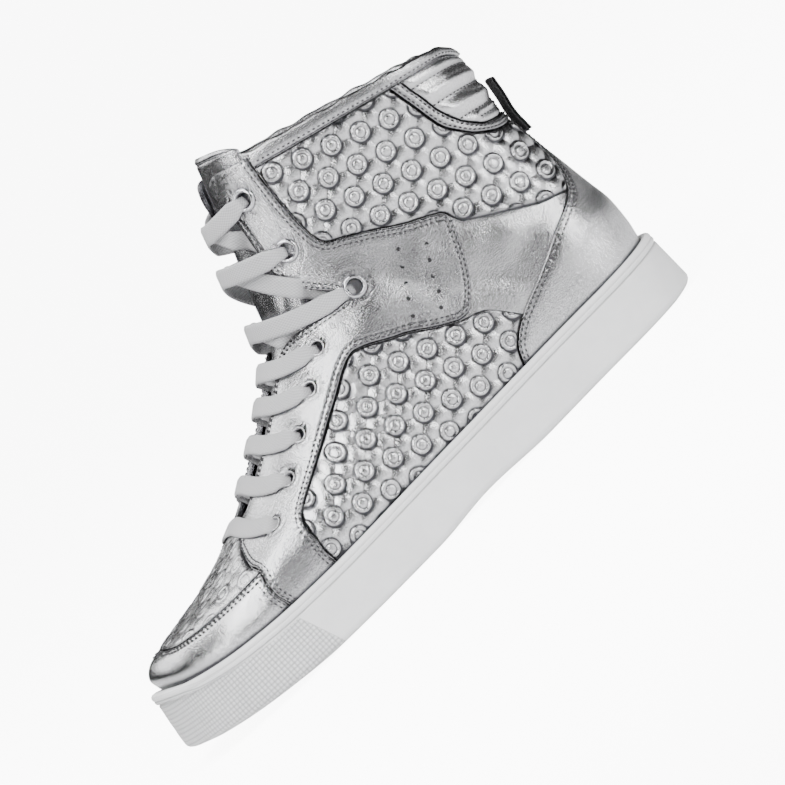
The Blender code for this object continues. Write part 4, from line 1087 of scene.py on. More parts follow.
# %% The cuff
CUFF_SEAMS = [
    [(0.68, 0.937), (0.75, 0.932), (0.82, 0.924), (0.90, 0.906), (1.0, 0.880)],
    [(0.705, 0.864), (0.77, 0.852), (0.83, 0.838), (0.90, 0.822), (1.0, 0.806)],
    [(0.755, 0.772), (0.82, 0.750), (0.88, 0.732), (1.0, 0.712)],
    [(0.820, 0.716), (0.90, 0.690), (1.0, 0.676)],
]
CUFF_CREASES = [
    [(0.68, 0.960), (0.80, 0.952), (0.90, 0.934), (1.0, 0.905)],
    [(0.70, 0.914), (0.80, 0.900), (0.90, 0.872), (1.0, 0.848)],
    [(0.715, 0.852), (0.79, 0.834), (0.88, 0.790), (1.0, 0.765)],
]
CUFF_RISE = 0.0024


def line_points(rows):
    line = even_line(smooth_line(rows), 0.0012)
    line = np.vstack([line, line * MIRROR])
    return skin(line[:, 1], line[:, 0])


seam_points = np.vstack([line_points(rows) for rows in CUFF_SEAMS])
crease_points = np.vstack([line_points(rows) for rows in CUFF_CREASES])


def cuff_relief(place, chart):
    seam = near_distance(place, seam_points)
    crease = near_distance(place, crease_points)
    swell = 1 - np.exp(-((seam / 0.0036) ** 1.5))
    # Painted shade along each sewn seam, and a painted dark reflection along each soft crease.
    dark = 0.55 * bell(seam / 0.0009) + 0.65 * bell(crease / 0.0005)
    no_button = np.ones(len(seam))
    return CUFF_RISE * swell * (1 - 0.25 * bell(crease / 0.0010)), dark, no_button, 0.0


CUFF_LOOP = np.vstack([STRIP_INNER, [(1.0, 0.8)], SEAM_LINE[SEAM_LINE[:, 0] > 0.665][::-1]])
collar_cuff = leather("padded cuff", CUFF_LOOP, spacing=0.0009, relief=cuff_relief, fade=0.0035)
finish_piece(collar_cuff, CUFF, "pale_silver_leather", "collar_cuff", fill=0.7)

# %% [markdown]
# ## Sweeping a section along a path
# The binding, the tongue, the laces, the eyelets and the sole are each one section
# carried along a path. A curve with a bevel object does this in Blender. It twists where
# a path bends on the last, so here each ring is set up from the leather's own normal.

# %% Sweeps
def tube_faces(rings, count):
    """Quads between neighbouring rings of points."""
    faces = []
    for start in range(0, (rings - 1) * count, count):
        for step in range(count):
            after = start + (step + 1) % count
            faces.append((start + step, after, after + count, start + step + count))
    return np.array(faces)


def sweep(name, rings, caps=True, cloth=False):
    """Joins rings of equal count. cloth adds a flat map in metres for the weave."""
    rings = np.asarray(rings)
    ways, count, _ = rings.shape
    faces = tube_faces(ways, count).tolist()
    if caps:
        faces.append(tuple(range(count)))
        faces.append(tuple(range((ways - 1) * count, ways * count)))
    piece = new_piece(name, rings.reshape(-1, 3), faces)
    if cloth:
        lay_cloth(piece, rings)
    face_out(piece)
    return piece


def lay_cloth(piece, rings):
    """A flat map in metres: across the section, and along the path."""
    ways, count, _ = rings.shape
    around = np.linalg.norm(rings - np.roll(rings, 1, axis=1), axis=2)
    around[:, 0] = 0
    around = np.cumsum(around, axis=1)
    middle = rings.mean(axis=1)
    along = np.append(0, np.cumsum(np.linalg.norm(np.diff(middle, axis=0), axis=1)))
    uv = piece.data.uv_layers.new(name="cloth")
    for loop in piece.data.loops:
        way, step = divmod(loop.vertex_index, count)
        uv.data[loop.index].uv = (around[way, step], along[way])


def carry(middle, across, out, section, widths=1.0):
    """A flat section of (across, out) pairs set up at each place of a path."""
    widths = np.broadcast_to(widths, len(middle))[:, None, None]
    wide = section[None, :, :1] * across[:, None, :] * widths
    return middle[:, None, :] + wide + section[None, :, 1:] * out[:, None, :]


def collar_lean(turn):
    return unit(skin(1.0, turn) - skin(0.96, turn))


# %% [markdown]
# ## The binding
# A folded strip of soft leather covers the collar's raw edge. A bevel of the wall's top
# would be too even, so an arch joins the outer and the inner leg and waves a little.

# %% The binding
BINDING_OUT, BINDING_IN, BINDING_CROWN = 0.0009, 0.0014, 0.0013
BINDING_START = 0.268


def binding():
    turns = np.linspace(BINDING_START, 2 - BINDING_START, 300)
    side = np.abs((turns + 1) % 2 - 1)
    edge = collar_up(turns)
    seam = np.interp(side, SEAM_LINE[:, 0], SEAM_LINE[:, 1]) + 0.001
    _, normal, _, _ = last_frame(edge, turns)
    wave = 0.00025 * np.sin(turns * 61) + 0.0002 * np.sin(turns * 97 + 1)
    out_leg, in_leg = PANEL_FACE + BINDING_OUT, WALL_BACK - BINDING_IN
    rings = [
        skin(seam, turns, PANEL_BACK), skin(seam, turns, out_leg - 0.0007),
        skin(seam + 0.004, turns, out_leg), skin((seam + edge) / 2 + 0.002, turns, out_leg + 0.0003),
    ]
    top, lean = skin(edge, turns), collar_lean(turns)
    mid, half = (out_leg + in_leg) / 2, (out_leg - in_leg) / 2
    for angle in np.linspace(0, np.pi, 11):
        rise = 0.0003 + (BINDING_CROWN + wave) * math.sin(angle)
        rings.append(top + normal * (mid + half * math.cos(angle)) + lean * rise[:, None])
    rings += [skin(seam, turns, in_leg), skin(seam, turns, WALL_BACK)]
    piece = sweep("collar binding leather", np.stack(rings, axis=1))
    return finish_piece(piece, SILVER, "silver_leather", "collar_binding")


collar_binding = binding()
print("binding", len(collar_binding.data.polygons), "faces")

# %% [markdown]
# ## The tongue
# A padded strip lies under the facings, and its top ends a little above them in a sewn
# edge. The laces and the facings need to know the throat's width, which is a table too.

# %% Tables of the tongue and the throat
TONGUE = np.array([
    (0.340, 0.130), (0.400, 0.150), (0.500, 0.160), (0.620, 0.165), (0.740, 0.215),
    (0.830, 0.270), (0.920, 0.260), (1.000, 0.235),
])
THROAT = np.array([
    (0.418, 0.0), (0.430, 0.026), (0.460, 0.046), (0.530, 0.058), (0.620, 0.064), (0.700, 0.080),
    (0.740, 0.115), (0.795, 0.185), (0.830, 0.178), (0.875, 0.160), (0.920, 0.140),
    (0.950, 0.115), (0.975, 0.090), (1.000, 0.115),
])
TONGUE_LIFT, TONGUE_THICKNESS, TONGUE_CROWN = 0.0045, 0.0038, 0.0020
TONGUE_COLUMNS, TONGUE_ROWS, TOP_ROWS = 61, 130, 14
# TONGUE_SEAMS: depth below the top and strength of the two lines of painted shade at the tongue's sewn
# rows.
TONGUE_SEAMS = ((0.0018, 0.9), (0.0036, 0.7))

# %% [markdown]
# The tongue is foam in thin leather. Pinned down by the facings it bulges between
# them, which a cloth simulation could give too. A crown over its width does the same.

# %% The tongue
def tongue_crown(up, turns):
    """The padding bulges between the facings, and flattens toward the top."""
    if up <= 0.43:
        return 0 * turns
    gap = 0.85 * float(np.interp(up, THROAT[:, 0], THROAT[:, 1]))
    bulge = np.where(np.abs(turns) < gap, 1 - (turns / gap) ** 2, 0)
    return np.interp(up, [0.80, 0.95], [1.0, 0.1]) * TONGUE_CROWN * bulge


def tongue_piece():
    across = np.linspace(-1, 1, TONGUE_COLUMNS)
    edge = np.sqrt(np.clip(1 - np.abs(across) ** 8, 0.02, 1))
    lean = collar_lean(np.zeros(TONGUE_COLUMNS))
    ups = np.concatenate([np.linspace(0.34, 1.0, TONGUE_ROWS), np.full(TOP_ROWS, 1.0)])
    lifts = np.concatenate([np.zeros(TONGUE_ROWS), np.linspace(0.0, 1.0, TOP_ROWS + 1)[1:]])
    rings = []
    for up, lift in zip(ups, lifts):
        turns = across * float(read(TONGUE[:, 0], TONGUE[:, 1], [up])[0]) * (1 - 0.10 * lift**2)
        mid = WALL_BACK - 0.0012 + tongue_crown(up, turns) - TONGUE_THICKNESS / 2
        rise = lean * (lift * TONGUE_LIFT * (1 - 0.55 * across**4))[:, None]
        seam = 0.0004 * bell((1 - lift) * TONGUE_LIFT / 0.0006 - 4.5) if lift else 0.0
        end = max(0.05, 1 - 0.75 * max(0.0, lift - 0.65) / 0.35)
        half = TONGUE_THICKNESS / 2 * edge * math.sqrt(end)
        rows = np.full(TONGUE_COLUMNS, up)
        outer = skin(rows, turns, mid + half - seam) + rise
        rings.append(np.vstack([outer, (skin(rows, turns, mid - half) + rise)[::-1]]))
    piece = sweep("tongue leather", rings, cloth=True)
    # Two lines of painted shade run along the sewn rows at the top, in the tongue's shade layer.
    below = np.repeat((1 - lifts) * TONGUE_LIFT + (1.0 - ups) * 0.14, 2 * TONGUE_COLUMNS)
    dark = sum(strength * bell((below - depth) / 0.0004) for depth, strength in TONGUE_SEAMS)
    add_layer(piece, "shade", dark)
    return finish_piece(piece, SILVER, "silver_leather", "tongue", fill=0.6)


tongue_piece()

# %% [markdown]
# ## Eyelets
# Three rolled metal rings on each facing. The head is a rounded rim and the barrel
# goes down through the leather. A torus has a round section, and a rolled rim doesn't,
# so a profile is turned round the hole. The lower holes have only a rim of leather.

# %% Eyelets
def frame_at(up, turn):
    place, normal, ahead, _ = last_frame(up, turn)
    way = Vector(ahead[0]).normalized()
    out = Vector(normal[0])
    side = out.cross(way).normalized()
    matrix = Matrix((side.cross(out).normalized(), side, out)).transposed().to_4x4()
    matrix.translation = Vector(place[0] + SHIFT)
    return matrix


EYELET_PROFILE = [
    (0.0030, -0.0026), (0.0030, 0.0004), (0.0031, 0.0011), (0.0034, 0.0016), (0.0038, 0.0017),
    (0.0043, 0.0014), (0.0047, 0.0009), (0.0048, 0.0004),
]
RIM_PROFILE = [
    (LACE_HOLE, -0.0028), (LACE_HOLE - 0.0001, 0.0002), (LACE_HOLE + 0.0002, 0.0007),
    (LACE_HOLE + 0.0006, 0.0006),
]


def eyelet(name, turn, up, profile, material, slot, *nodes):
    rings = [[(r * math.cos(a), r * math.sin(a), z) for a in round_angles(48)] for r, z in profile]
    piece = sweep(name, rings, caps=False)
    piece.data.transform(frame_at(up, turn))
    return finish_piece(piece, material, slot, *nodes)


for side, word in SIDES:
    for place, (turn, up) in enumerate(RING_PLACES, 1):
        eyelet(
            f"{word} metal eyelet {place}", side * turn, up, EYELET_PROFILE, STEEL,
            "eyelet_metal", f"eyelet_{word}_{place}",
        )
    for place, (turn, up) in enumerate(HOLE_PLACES, 4):
        eyelet(f"{word} lace hole {place}", side * turn, up, RIM_PROFILE, SILVER, "silver_leather")

# %% [markdown]
# ## Laces
# A flat woven lace. Each visible strand comes out of a hole, runs forward over the
# tongue and goes under the other facing, on its way to the next hole down. The lowest
# row is one straight bar. The ends are hidden under the facings at the top. A physics
# run could drape them, but their places in the photo are known, so they are laid there.

# %% Lace helpers
LACE_ROWS = RING_PLACES + HOLE_PLACES
LACE_MIDDLES = [0.930, 0.865, 0.768, 0.688, 0.625, 0.558, 0.485, 0.410]
LACE_WIDTH, LACE_THICKNESS, LACE_OVER = 0.0078, 0.0013, PANEL_FACE + 0.0012
LACE_START, LACE_SINK, START_LENGTH, START_WIDTH = 0.99, 0.0034, 0.10, 0.50
UNDER_SINK, UNDER_REACH, LACE_BEND = 0.0046, 0.055, 1.6
# The throat is this wide for the strand that crosses where the ankle's opening is widest.
WIDE_ROW, WIDE_THROAT, LEAST_THROAT = 1, 0.26, 0.03


def ribbon_section(width, thick, count=9):
    """A flat section with round edges, as (across, out) pairs."""
    side = np.linspace(-1, 1, count)
    top = np.stack([side * width / 2, thick / 2 * np.sqrt(1 - 0.92 * side**6)], axis=1)
    return np.vstack([top, top[::-1] * np.array([1, -1])])


def lace(name, rows, lifts, node=None):
    """A ribbon along chart places, with a height over the leather at each."""
    middle = skin(rows[:, 1], rows[:, 0], lifts)
    _, normal, _, _ = last_frame(rows[:, 1], rows[:, 0])
    way = unit(np.gradient(middle, axis=0))
    across = unit(np.cross(way, normal))
    narrow = np.ones(len(rows))
    narrow[:8] = np.linspace(START_WIDTH, 1.0, 8)
    section = ribbon_section(LACE_WIDTH, LACE_THICKNESS)
    piece = sweep(name, carry(middle, across, np.cross(across, way), section, narrow), cloth=True)
    return finish_piece(piece, LACE, "lace_grey", *([node] if node else []))


def sink(inward):
    """How far a lace dips into its hole, inward being the distance from its end."""
    return LACE_SINK * (1 - soft_step(inward, START_LENGTH))


def strand(row, side, lift):
    """One strand of a crossing, from its hole over the middle and under the far facing."""
    turn, up = LACE_ROWS[row]
    middle = LACE_MIDDLES[row]
    far_turn, far_up = LACE_ROWS[row + 1]
    throat = float(np.interp(middle, THROAT[:, 0], THROAT[:, 1]))
    throat = WIDE_THROAT if row == WIDE_ROW else max(throat, LEAST_THROAT)
    share = np.linspace(LACE_START, -min(1.0, (throat + UNDER_REACH) / far_turn), 60)
    turns = share * np.where(share > 0, turn, far_turn)
    ups = middle + (np.where(share > 0, up, far_up) - middle) * np.abs(share) ** LACE_BEND
    lifts = LACE_OVER + lift * bell(turns / (throat + 0.02)) - sink(LACE_START - share)
    lifts -= (UNDER_SINK + lift) * soft_step(-turns - throat + 0.030, 0.032)
    return np.stack([side * turns, np.clip(ups, 0, 1.0)], axis=1), lifts

# %% Lacing up
OVER_LIFTS = (0.0030, 0.0045, 0.0035, 0.0020, 0.0020, 0.0020, 0.0020)
for row, over in enumerate(OVER_LIFTS):
    lace(f"lace strand outer {row + 1}", *strand(row, 1, over), node=f"lace_cross_{row + 1}")
    lace(f"lace strand inner {row + 1}", *strand(row, -1, 0.0006))

BAR_REACH = 1.02
share = np.linspace(-BAR_REACH, BAR_REACH, 70)
bar_turn, bar_up = HOLE_PLACES[-1]
bar_ups = LACE_MIDDLES[-1] + (bar_up - LACE_MIDDLES[-1]) * np.abs(share) ** LACE_BEND
bar = np.stack([share * bar_turn, bar_ups], axis=1)
lace("lace strand bar", bar, LACE_OVER - sink(BAR_REACH - np.abs(share)), node="lace_bar_8")
print(2 * len(OVER_LIFTS) + 1, "lace strands")

# %% [markdown]
# ## The pull tab
# A loop of black webbing, sewn to the back seam and folded over at the top. A bent plane
# with thickness would do. The sweep is used again, as it also lays the weave's own map.

# %% The pull tab
TAB_LINE = np.array([
    (0.490, 0.0004), (0.560, 0.0011), (0.620, 0.0022), (0.680, 0.0033), (0.720, 0.0037),
    (0.775, 0.0040),
])
TAB_WIDTH, TAB_THICKNESS, TAB_EYE = 0.0135, 0.0009, 0.0003
TAB_FOLD = 0.006


def pull_tab():
    first, last = TAB_LINE[0, 0], TAB_LINE[-1, 0]
    ups = np.linspace(first, last, 60)
    off = read(TAB_LINE[:, 0], TAB_LINE[:, 1], ups) + TAB_THICKNESS / 2
    near = np.stack([ups, off], axis=1)
    far = np.stack([ups, off + TAB_THICKNESS + TAB_EYE], axis=1)[::-1]
    half = (TAB_THICKNESS + TAB_EYE) / 2
    fold = [
        (last + TAB_FOLD * math.sin(a), off[-1] + half * (1 - math.cos(a)))
        for a in np.linspace(0, np.pi, 14)[1:-1]
    ]
    path = np.vstack([near, fold, far])
    middle = skin(path[:, 0], np.ones(len(path)), PANEL_FACE + path[:, 1])
    middle[:, 1] = SHIFT[1]
    across = np.broadcast_to([0, 1.0, 0], middle.shape)
    out = np.cross(across, unit(np.gradient(middle, axis=0)))
    section = ribbon_section(TAB_WIDTH, TAB_THICKNESS, 13)
    piece = sweep("webbing pull tab", carry(middle, across, out, section), cloth=True)
    return finish_piece(piece, WEBBING, "webbing_black", "pull_tab")


pull_tab()

# %% [markdown]
# ## The sole
# A moulded rubber cup. Its side has a lip with a fine groove, its toe a fine grid, and
# its underside bars with channels between them. It could be an extruded outline with
# bevels, but its toe flares, so the profile is a table and each row may differ.

# %% Profile of the sole
SOLE_COLUMNS = 240
# Each row: mm out from the wall's face, the level it is measured from, the rise from that
# level (in mm, or as a share of the wall), and the share of the toe's flare.
WALL_ROWS = [
    (-9.0, "low", 0.0, 1.0), (-2.8, "low", 0.0, 1.0), (-1.6, "low", 0.3, 1.0),
    (-0.6, "low", 1.1, 1.0), (-0.1, "low", 2.1, 1.0), (0.0, "low", 3.0, 0.97),
    (0.0, "low", 5.0, 0.90), (0.0, "low", 7.5, 0.78), (0.0, "mid", 0.4, 0.60),
    (0.0, "mid", 0.5, 0.48), (0.0, "mid", 0.6, 0.32), (0.0, "top", -7.5, 0.14),
    (0.0, "top", -5.6, 0.03), (-0.05, "top", -5.0, 0.0), (-0.5, "top", -4.7, 0.0),
    (-0.6, "top", -4.5, 0.0), (-0.1, "top", -4.2, 0.0), (0.3, "top", -3.7, 0.0),
    (0.3, "top", -3.0, 0.0), (0.2, "top", -2.6, 0.0), (-0.1, "top", -2.4, 0.0),
    (0.1, "top", -2.2, 0.0), (0.3, "top", -1.8, 0.0), (0.2, "top", -1.0, 0.0),
    (-0.3, "top", -0.3, 0.0), (-1.0, "top", 0.0, 0.0),
]
# The same for the inside of the cup: mm out from its inner face, and mm from the top.
CUP_ROWS = [(0.6, -0.1), (0.1, -0.8), (0.0, -CUP_DEPTH / MM), (-8.0, -CUP_DEPTH / MM)]
SOLE_PROFILE = [(SOLE_OUTER + out * MM, level, rise, flare) for out, level, rise, flare in WALL_ROWS]
SOLE_PROFILE += [(SOLE_INNER + out * MM, "top", rise, 0.0) for out, rise in CUP_ROWS]
TREAD_PLACES = [0.16, 0.20, 0.24, 0.28, 0.42, 0.46, 0.50, 0.70, 0.74, 0.86, 0.90]
TREAD_GAP, TREAD_DEPTH, TREAD_EDGE = 0.0028, 0.0014, 0.008

# %% [markdown]
# The same outline is drawn again for each row of the profile and the rows are joined.
# Its two open ends, the tread and the foot bed, are filled with bands across.

# %% The cup
def close_caps(piece, columns, rings):
    """Fills the first and the last ring with bands that run across from side to side."""
    half = columns // 2
    bands = [(half + step, half + step + 1, half - step - 1, half - step) for step in range(1, half - 1)]
    bands += [(half, half + 1, half - 1), (columns - 1, 0, 1)]

    def fill(work):
        work.verts.ensure_lookup_table()
        for start in (0, (rings - 1) * columns):
            for band in bands:
                work.faces.new([work.verts[start + place] for place in band])

    face_out(piece, fill)


def sole():
    turns = np.arange(SOLE_COLUMNS) / SOLE_COLUMNS * 2 - 1
    rings = []
    for out, level, rise, flare in SOLE_PROFILE:
        toe = TOE_WALL + TOE_FLARE * flare if out > 3 * FIT_GAP else 0.0
        flat, along = sole_plan(turns, out, toe)
        low, top = sole_bottom(along), sole_top(along)
        height = {"low": low + rise * MM, "top": top + rise * MM, "mid": low + rise * (top - low)}[level]
        rings.append(np.column_stack([flat + SHIFT[:2], height]))
    piece = sweep("rubber sole", rings, caps=False)
    close_caps(piece, SOLE_COLUMNS, len(rings))
    for place in TREAD_PLACES:
        cut_channel(piece, place)
    for face in piece.data.polygons:
        face.use_smooth = abs(face.normal.z) < 0.97
    mark_toe(piece)
    lay_round(piece)
    return finish_piece(piece, RUBBER, "rubber_white", "cupsole")

# %% Channels in the tread
def cut_channel(piece, place):
    """One channel across the underside, cut with a long block."""
    bpy.ops.mesh.primitive_cube_add(size=1.0)
    block = bpy.context.active_object
    along = place * SHOE_LENGTH
    turn = math.acos(1 - 2 * (place - LAST[1, 1]) / (LAST[1, 3] - LAST[1, 1])) / math.pi
    outer = skin(0.0, turn)[0, 1] - TREAD_EDGE
    inner = skin(0.0, -turn)[0, 1] + TREAD_EDGE
    low = float(sole_bottom(np.array([along]))[0])
    block.scale = (TREAD_GAP, outer - inner, 2 * TREAD_DEPTH)
    block.location = (SHOE_LENGTH / 2 - along + SHIFT[0], (outer + inner) / 2, low)
    bpy.ops.object.transform_apply(location=True, rotation=True, scale=True)
    step = piece.modifiers.new("Channel", "BOOLEAN")
    step.object, step.operation, step.solver = block, "DIFFERENCE", "EXACT"
    bpy.ops.object.select_all(action="DESELECT")
    bpy.context.view_layer.objects.active = piece
    bpy.ops.object.modifier_apply(modifier="Channel")
    bpy.data.objects.remove(block)

# %% The toe's grid
GRID_REACH, GRID_SLANT = 0.062, 0.35


def mark_toe(piece):
    """How deep each place lies under the lip's top, and how far ahead of the grid's
    slanted edge."""
    places = np.array([tuple(vert.co) for vert in piece.data.vertices])
    along = SHOE_LENGTH / 2 - places[:, 0] + SHIFT[0]
    add_layer(piece, "toe side", GRID_REACH - GRID_SLANT * (places[:, 2] - 0.010) - along)
    add_layer(piece, "deep", sole_top(along) - places[:, 2])


def lay_round(piece):
    """A flat map for the toe's grid: metres round the outline, and metres up."""
    turns = np.linspace(-0.5, 0.5, 401)
    flat, _ = sole_plan(turns, SOLE_OUTER)
    flat = flat + SHIFT[:2]
    length = np.append(0, np.cumsum(np.linalg.norm(np.diff(flat, axis=0), axis=1)))
    tree = kdtree.KDTree(len(flat))
    for place, (x, y) in enumerate(flat):
        tree.insert((x, y, 0), place)
    tree.balance()
    at = []
    for vert in piece.data.vertices:
        place = tree.find((vert.co.x, vert.co.y, 0))[1]
        before, after = max(place - 1, 0), min(place + 1, 400)
        way = unit(flat[after:after + 1] - flat[before])[0]
        at.append((length[place] + (np.array(vert.co[:2]) - flat[place]) @ way, vert.co.z))
    uv = piece.data.uv_layers.new(name="round")
    for loop in piece.data.loops:
        uv.data[loop.index].uv = at[loop.vertex_index]

# %% Making the sole
cupsole = sole()
print("sole", len(cupsole.data.polygons), "faces")

# %% [markdown]
# ## The insole
# A thin board under a sock of cloth lies on the foot bed. Only its edge and face can be
# seen through the collar, so it is the sole's outline again, a little smaller and flat.

# %% The insole
INSOLE_COLUMNS, INSOLE_RISE = 120, 0.0033
INSOLE_ROWS = ((-0.5, 0.6), (0.0, 0.1), (0.2, -0.4), (0.2, -2.0))


def insole():
    """The sock on the foot bed. Each row is mm out from the lining, and mm up."""
    turns = np.arange(INSOLE_COLUMNS) * 2 / INSOLE_COLUMNS - 1
    rings = []
    for out, rise in INSOLE_ROWS:
        flat, along = sole_plan(turns, WALL_BACK + out * MM)
        height = sole_top(along) - CUP_DEPTH + INSOLE_RISE + rise * MM
        rings.append(np.column_stack([flat + SHIFT[:2], height]))
    piece = sweep("insole cloth", rings, caps=False)
    close_caps(piece, INSOLE_COLUMNS, len(rings))
    uv = piece.data.uv_layers.new(name="cloth")
    for loop in piece.data.loops:
        uv.data[loop.index].uv = piece.data.vertices[loop.vertex_index].co[:2]
    return finish_piece(piece, LINING, "sock_grey", "insole")


insole()

# %% [markdown]
# ## Stitches
# Each stitch is a short thread that comes up, lies on the leather and goes down again.
# An array along a curve could carry them. Copies that are made from the same distances
# as the grooves always lie in them, so one capsule is copied and the copies are joined.

# %% One stitch and its copies
STITCH, PITCH, THREAD_WIDTH = 0.0015, 0.0022, 0.00062
SIDES_OF_THREAD, THREAD_RINGS, THREAD_DIP = 6, 7, 0.00045


def capsule():
    """One stitch along X: rings of points whose ends dip into the leather."""
    rings = []
    for share in np.linspace(-1, 1, THREAD_RINGS):
        radius = THREAD_WIDTH / 2 * math.sqrt(max(0.08, 1 - abs(share) ** 4))
        drop = -THREAD_DIP * abs(share) ** 3
        for angle in round_angles(SIDES_OF_THREAD):
            rings.append((share * STITCH / 2, radius * math.cos(angle), radius * math.sin(angle) + drop))
    return np.array(rings), tube_faces(THREAD_RINGS, SIDES_OF_THREAD)


def stitches(name, rows):
    """A thread along each chart line at its height, on both sides of the shoe."""
    base, faces = capsule()
    base = base[None]
    copies = []
    for line, height in rows:
        for way_round in (1, MIRROR):
            at = even_line(line * way_round, PITCH)
            place, normal, _, _ = last_frame(at[:, 1], at[:, 0])
            place = place + SHIFT
            place = place + normal * (height + crease_height(place))[:, None]
            way = unit(np.gradient(place, axis=0))
            across, way, normal = np.cross(normal, way)[:, None], way[:, None], normal[:, None]
            made = place[:, None] + base[:, :, :1] * way
            copies.append(made + base[:, :, 1:2] * across + base[:, :, 2:] * normal)
    made = np.vstack(copies)
    quads = np.vstack([faces + start for start in np.arange(len(made)) * base.shape[1]])
    piece = new_piece(name, made.reshape(-1, 3), quads)
    face_out(piece)
    print(name, len(quads) * 2, "triangles")
    return finish_piece(piece, THREAD, "silver_leather")


def sewn(line, side, height, distances=(ROW_ONE, ROW_TWO)):
    """Rows of sewing beside an edge, on its left if side is 1 and on its right if -1."""
    return [(step_aside(even_line(line, 0.0015), side * distance), height) for distance in distances]

# %% Sewing
SEW = PANEL_FACE + 0.0001
EYE_SEW, STRIP_SEW = SEW + 0.0004, SEW + 0.0003
stitches("rand stitches", sewn(TOE_LINE, -1, SEW) + sewn(upto(FRONT_LINE, 0.16), 1, SEW))
eye_edges = (
    (EYE_LOWER, 1), (WING_END, 1), (EYE_REAR, 1), (FRONT_LINE, -1), (THROAT_LINE[20:-34], -1),
)
stitches("eyestay stitches", [row for line, side in eye_edges for row in sewn(line, side, EYE_SEW)])
stitches("counter stitches", sewn(COUNTER_LINE, -1, SEW))
strip_rows = sewn(STRIP_OUTER, 1, STRIP_SEW, (ROW_ONE,)) + sewn(STRIP_INNER, -1, STRIP_SEW, (ROW_ONE,))
stitches("strip stitches", strip_rows)
stitches("cuff stitches", [(smooth_line(rows), PANEL_FACE + 0.0002) for rows in CUFF_SEAMS])
binding_line = SEAM_LINE[SEAM_LINE[:, 0] > 0.28] + np.array([0, 0.006])
stitches("binding stitches", [(binding_line, PANEL_FACE + 0.0010)])

# %% [markdown]
# ## Vent holes
# Two rows of small punched holes in the wing. Cut for real, holes of a millimetre would
# need very fine leather round them. A disc of painted shade in a soft rim stands in for the dark inside
# of each hole.

# %% Vents
VENT_ROWS = [
    (0.500, 0.644), (0.505, 0.587), (0.510, 0.529), (0.510, 0.483), (0.515, 0.425),
    (0.565, 0.564), (0.565, 0.512), (0.565, 0.460), (0.570, 0.402), (0.570, 0.350),
]
VENT_RADIUS, VENT_SIDES = 0.00062, 16
# Share of the radius, and height over the leather
VENT_RINGS = ((1.5, 0.00068), (1.0, 0.00076), (0.9, 0.00071), (0.02, 0.00071))


def vents():
    """All vent holes as one piece."""
    disc = tube_faces(len(VENT_RINGS), VENT_SIDES)
    points, faces = [], []
    for side, _ in SIDES:
        for turn, up in VENT_ROWS:
            matrix = frame_at(up, side * turn)
            lift = float(crease_height(np.array([matrix.translation]))[0])
            faces.append(disc + len(points))
            for share, rise in VENT_RINGS:
                radius = VENT_RADIUS * share
                for angle in round_angles(VENT_SIDES):
                    at = (radius * math.cos(angle), radius * math.sin(angle), rise + lift)
                    points.append(matrix @ Vector(at))
    piece = new_piece("vent holes", [tuple(point) for point in points], np.vstack(faces))
    return finish_piece(piece, DARK, "silver_leather")


# The near-black of the vent holes is painted shade for their dark insides.
DARK, _, _ = new_material("vent hole shade", (0.012, 0.012, 0.013), 0.9)
vents()

# %% [markdown]
# ## Floor, light and camera
# A pale floor, as in a product photo. It glows for the camera alone, so that it looks
# white and yet throws no light up at the leather.

# %% Floor
FLOOR_GLOW, BACKGROUND, ROOM = 9.0, 10.0, 0.04
bpy.ops.mesh.primitive_plane_add(size=80.0, location=(0, 0, -0.0002))
floor = bpy.context.active_object
floor.name = "floor"
floor_material, floor_tree, floor_shader = new_material("pale floor", (0.86, 0.86, 0.87), 0.6)
floor_shader.inputs["Emission Color"].default_value = (1, 1, 1, 1)
floor_path = floor_tree.nodes.new("ShaderNodeLightPath")
glow = times(floor_tree, floor_path.outputs["Is Camera Ray"], FLOOR_GLOW)
link(floor_tree, glow, floor_shader.inputs["Emission Strength"])
floor.data.materials.append(floor_material)

# %% Background
world = bpy.data.worlds.new("studio")
bpy.context.scene.world = world
world.use_nodes = True
sky = world.node_tree
seen, room = sky.nodes["Background"], sky.nodes.new("ShaderNodeBackground")
for background, strength in ((seen, BACKGROUND), (room, ROOM)):
    background.inputs["Color"].default_value = (1, 1, 1, 1)
    background.inputs["Strength"].default_value = strength
blend = sky.nodes.new("ShaderNodeMixShader")
path = sky.nodes.new("ShaderNodeLightPath")
link(sky, path.outputs["Is Camera Ray"], blend.inputs[0])
link(sky, room.outputs[0], blend.inputs[1])
link(sky, seen.outputs[0], blend.inputs[2])
link(sky, blend.outputs[0], sky.nodes["World Output"].inputs["Surface"])

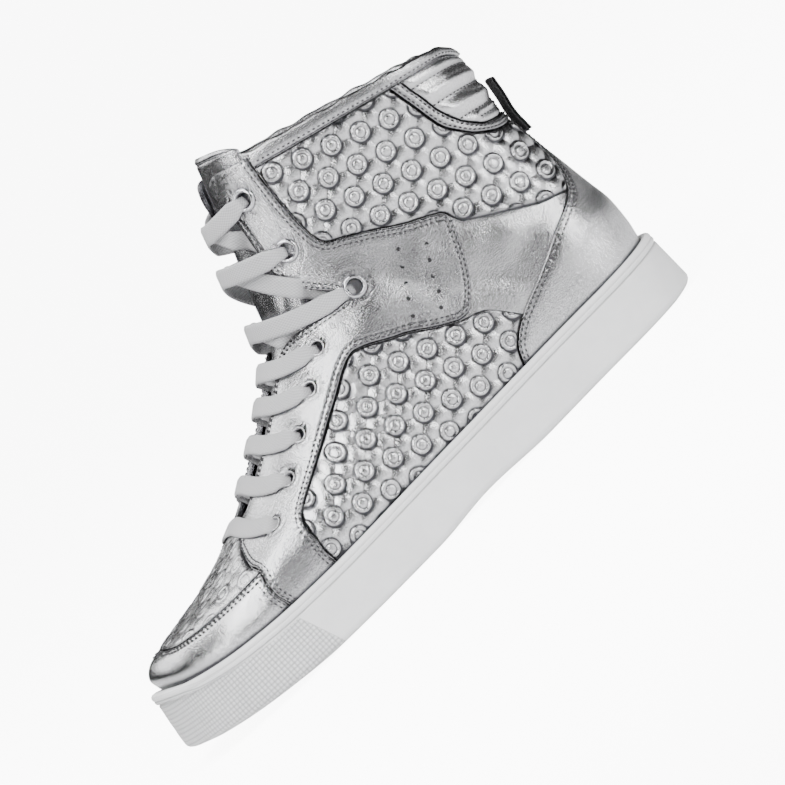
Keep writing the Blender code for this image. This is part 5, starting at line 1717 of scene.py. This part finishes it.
# %% [markdown]
# A dull mirror shows what is round it. One small key gives the bright spot, wide soft
# lights give the slow change over the wing, and two narrow strips pick out the toe and
# the heel. The room itself is nearly dark, which keeps the leather's contrast.

# %% Lights
CENTRE = Vector((-0.0201, 0.0011, 0.0506)) + Vector(SHIFT)


def soft_light(name, direction, distance, size, power):
    data = bpy.data.lights.new(name, "AREA")
    data.shape, data.size, data.size_y, data.energy = "RECTANGLE", size[0], size[1], power
    lamp = bpy.data.objects.new(name, data)
    way = Vector(direction).normalized()
    lamp.location = CENTRE + way * distance
    lamp.rotation_euler = (-way).to_track_quat("-Z", "Y").to_euler()
    bpy.context.scene.collection.objects.link(lamp)


# Name, direction from the shoe, distance, size and power
LIGHTS = [
    ("key", (0.45, 1.0, 0.9), 1.3, (0.35, 0.25), 11),
    ("over", (0.1, 0.5, 1.3), 1.3, (0.9, 0.30), 16),
    ("toe strip", (1.3, 0.9, 0.2), 1.2, (0.14, 0.9), 7),
    ("heel strip", (-1.2, 0.9, 0.3), 1.2, (0.14, 0.9), 10),
    ("top", (0.0, -0.3, 1.5), 1.3, (0.9, 0.5), 8),
    ("far side", (0.5, -0.8, 0.9), 1.3, (0.8, 0.8), 9),
]
for light in LIGHTS:
    soft_light(*light)

# %% [markdown]
# The photo was taken with a long lens, almost level, and the shoe was shown turned. The
# shoe stands on the floor here, and the camera is rolled instead.

# %% Camera
AZIMUTH, ELEVATION, ROLL = math.radians(170), math.radians(5), math.radians(44.3)
LENS, SENSOR, DISTANCE = 720, 36, 6.038
camera_data = bpy.data.cameras.new("camera")
camera_data.lens, camera_data.sensor_width = LENS, SENSOR
camera = bpy.data.objects.new("camera", camera_data)
bpy.context.scene.collection.objects.link(camera)
bpy.context.scene.camera = camera
back = Vector((
    math.sin(AZIMUTH) * math.cos(ELEVATION), -math.cos(AZIMUTH) * math.cos(ELEVATION),
    math.sin(ELEVATION),
))
camera.location = CENTRE + back * DISTANCE
level = (-back).to_track_quat("-Z", "Y")
camera.rotation_euler = (level.to_matrix() @ Matrix.Rotation(-ROLL, 3, "Z")).to_euler()
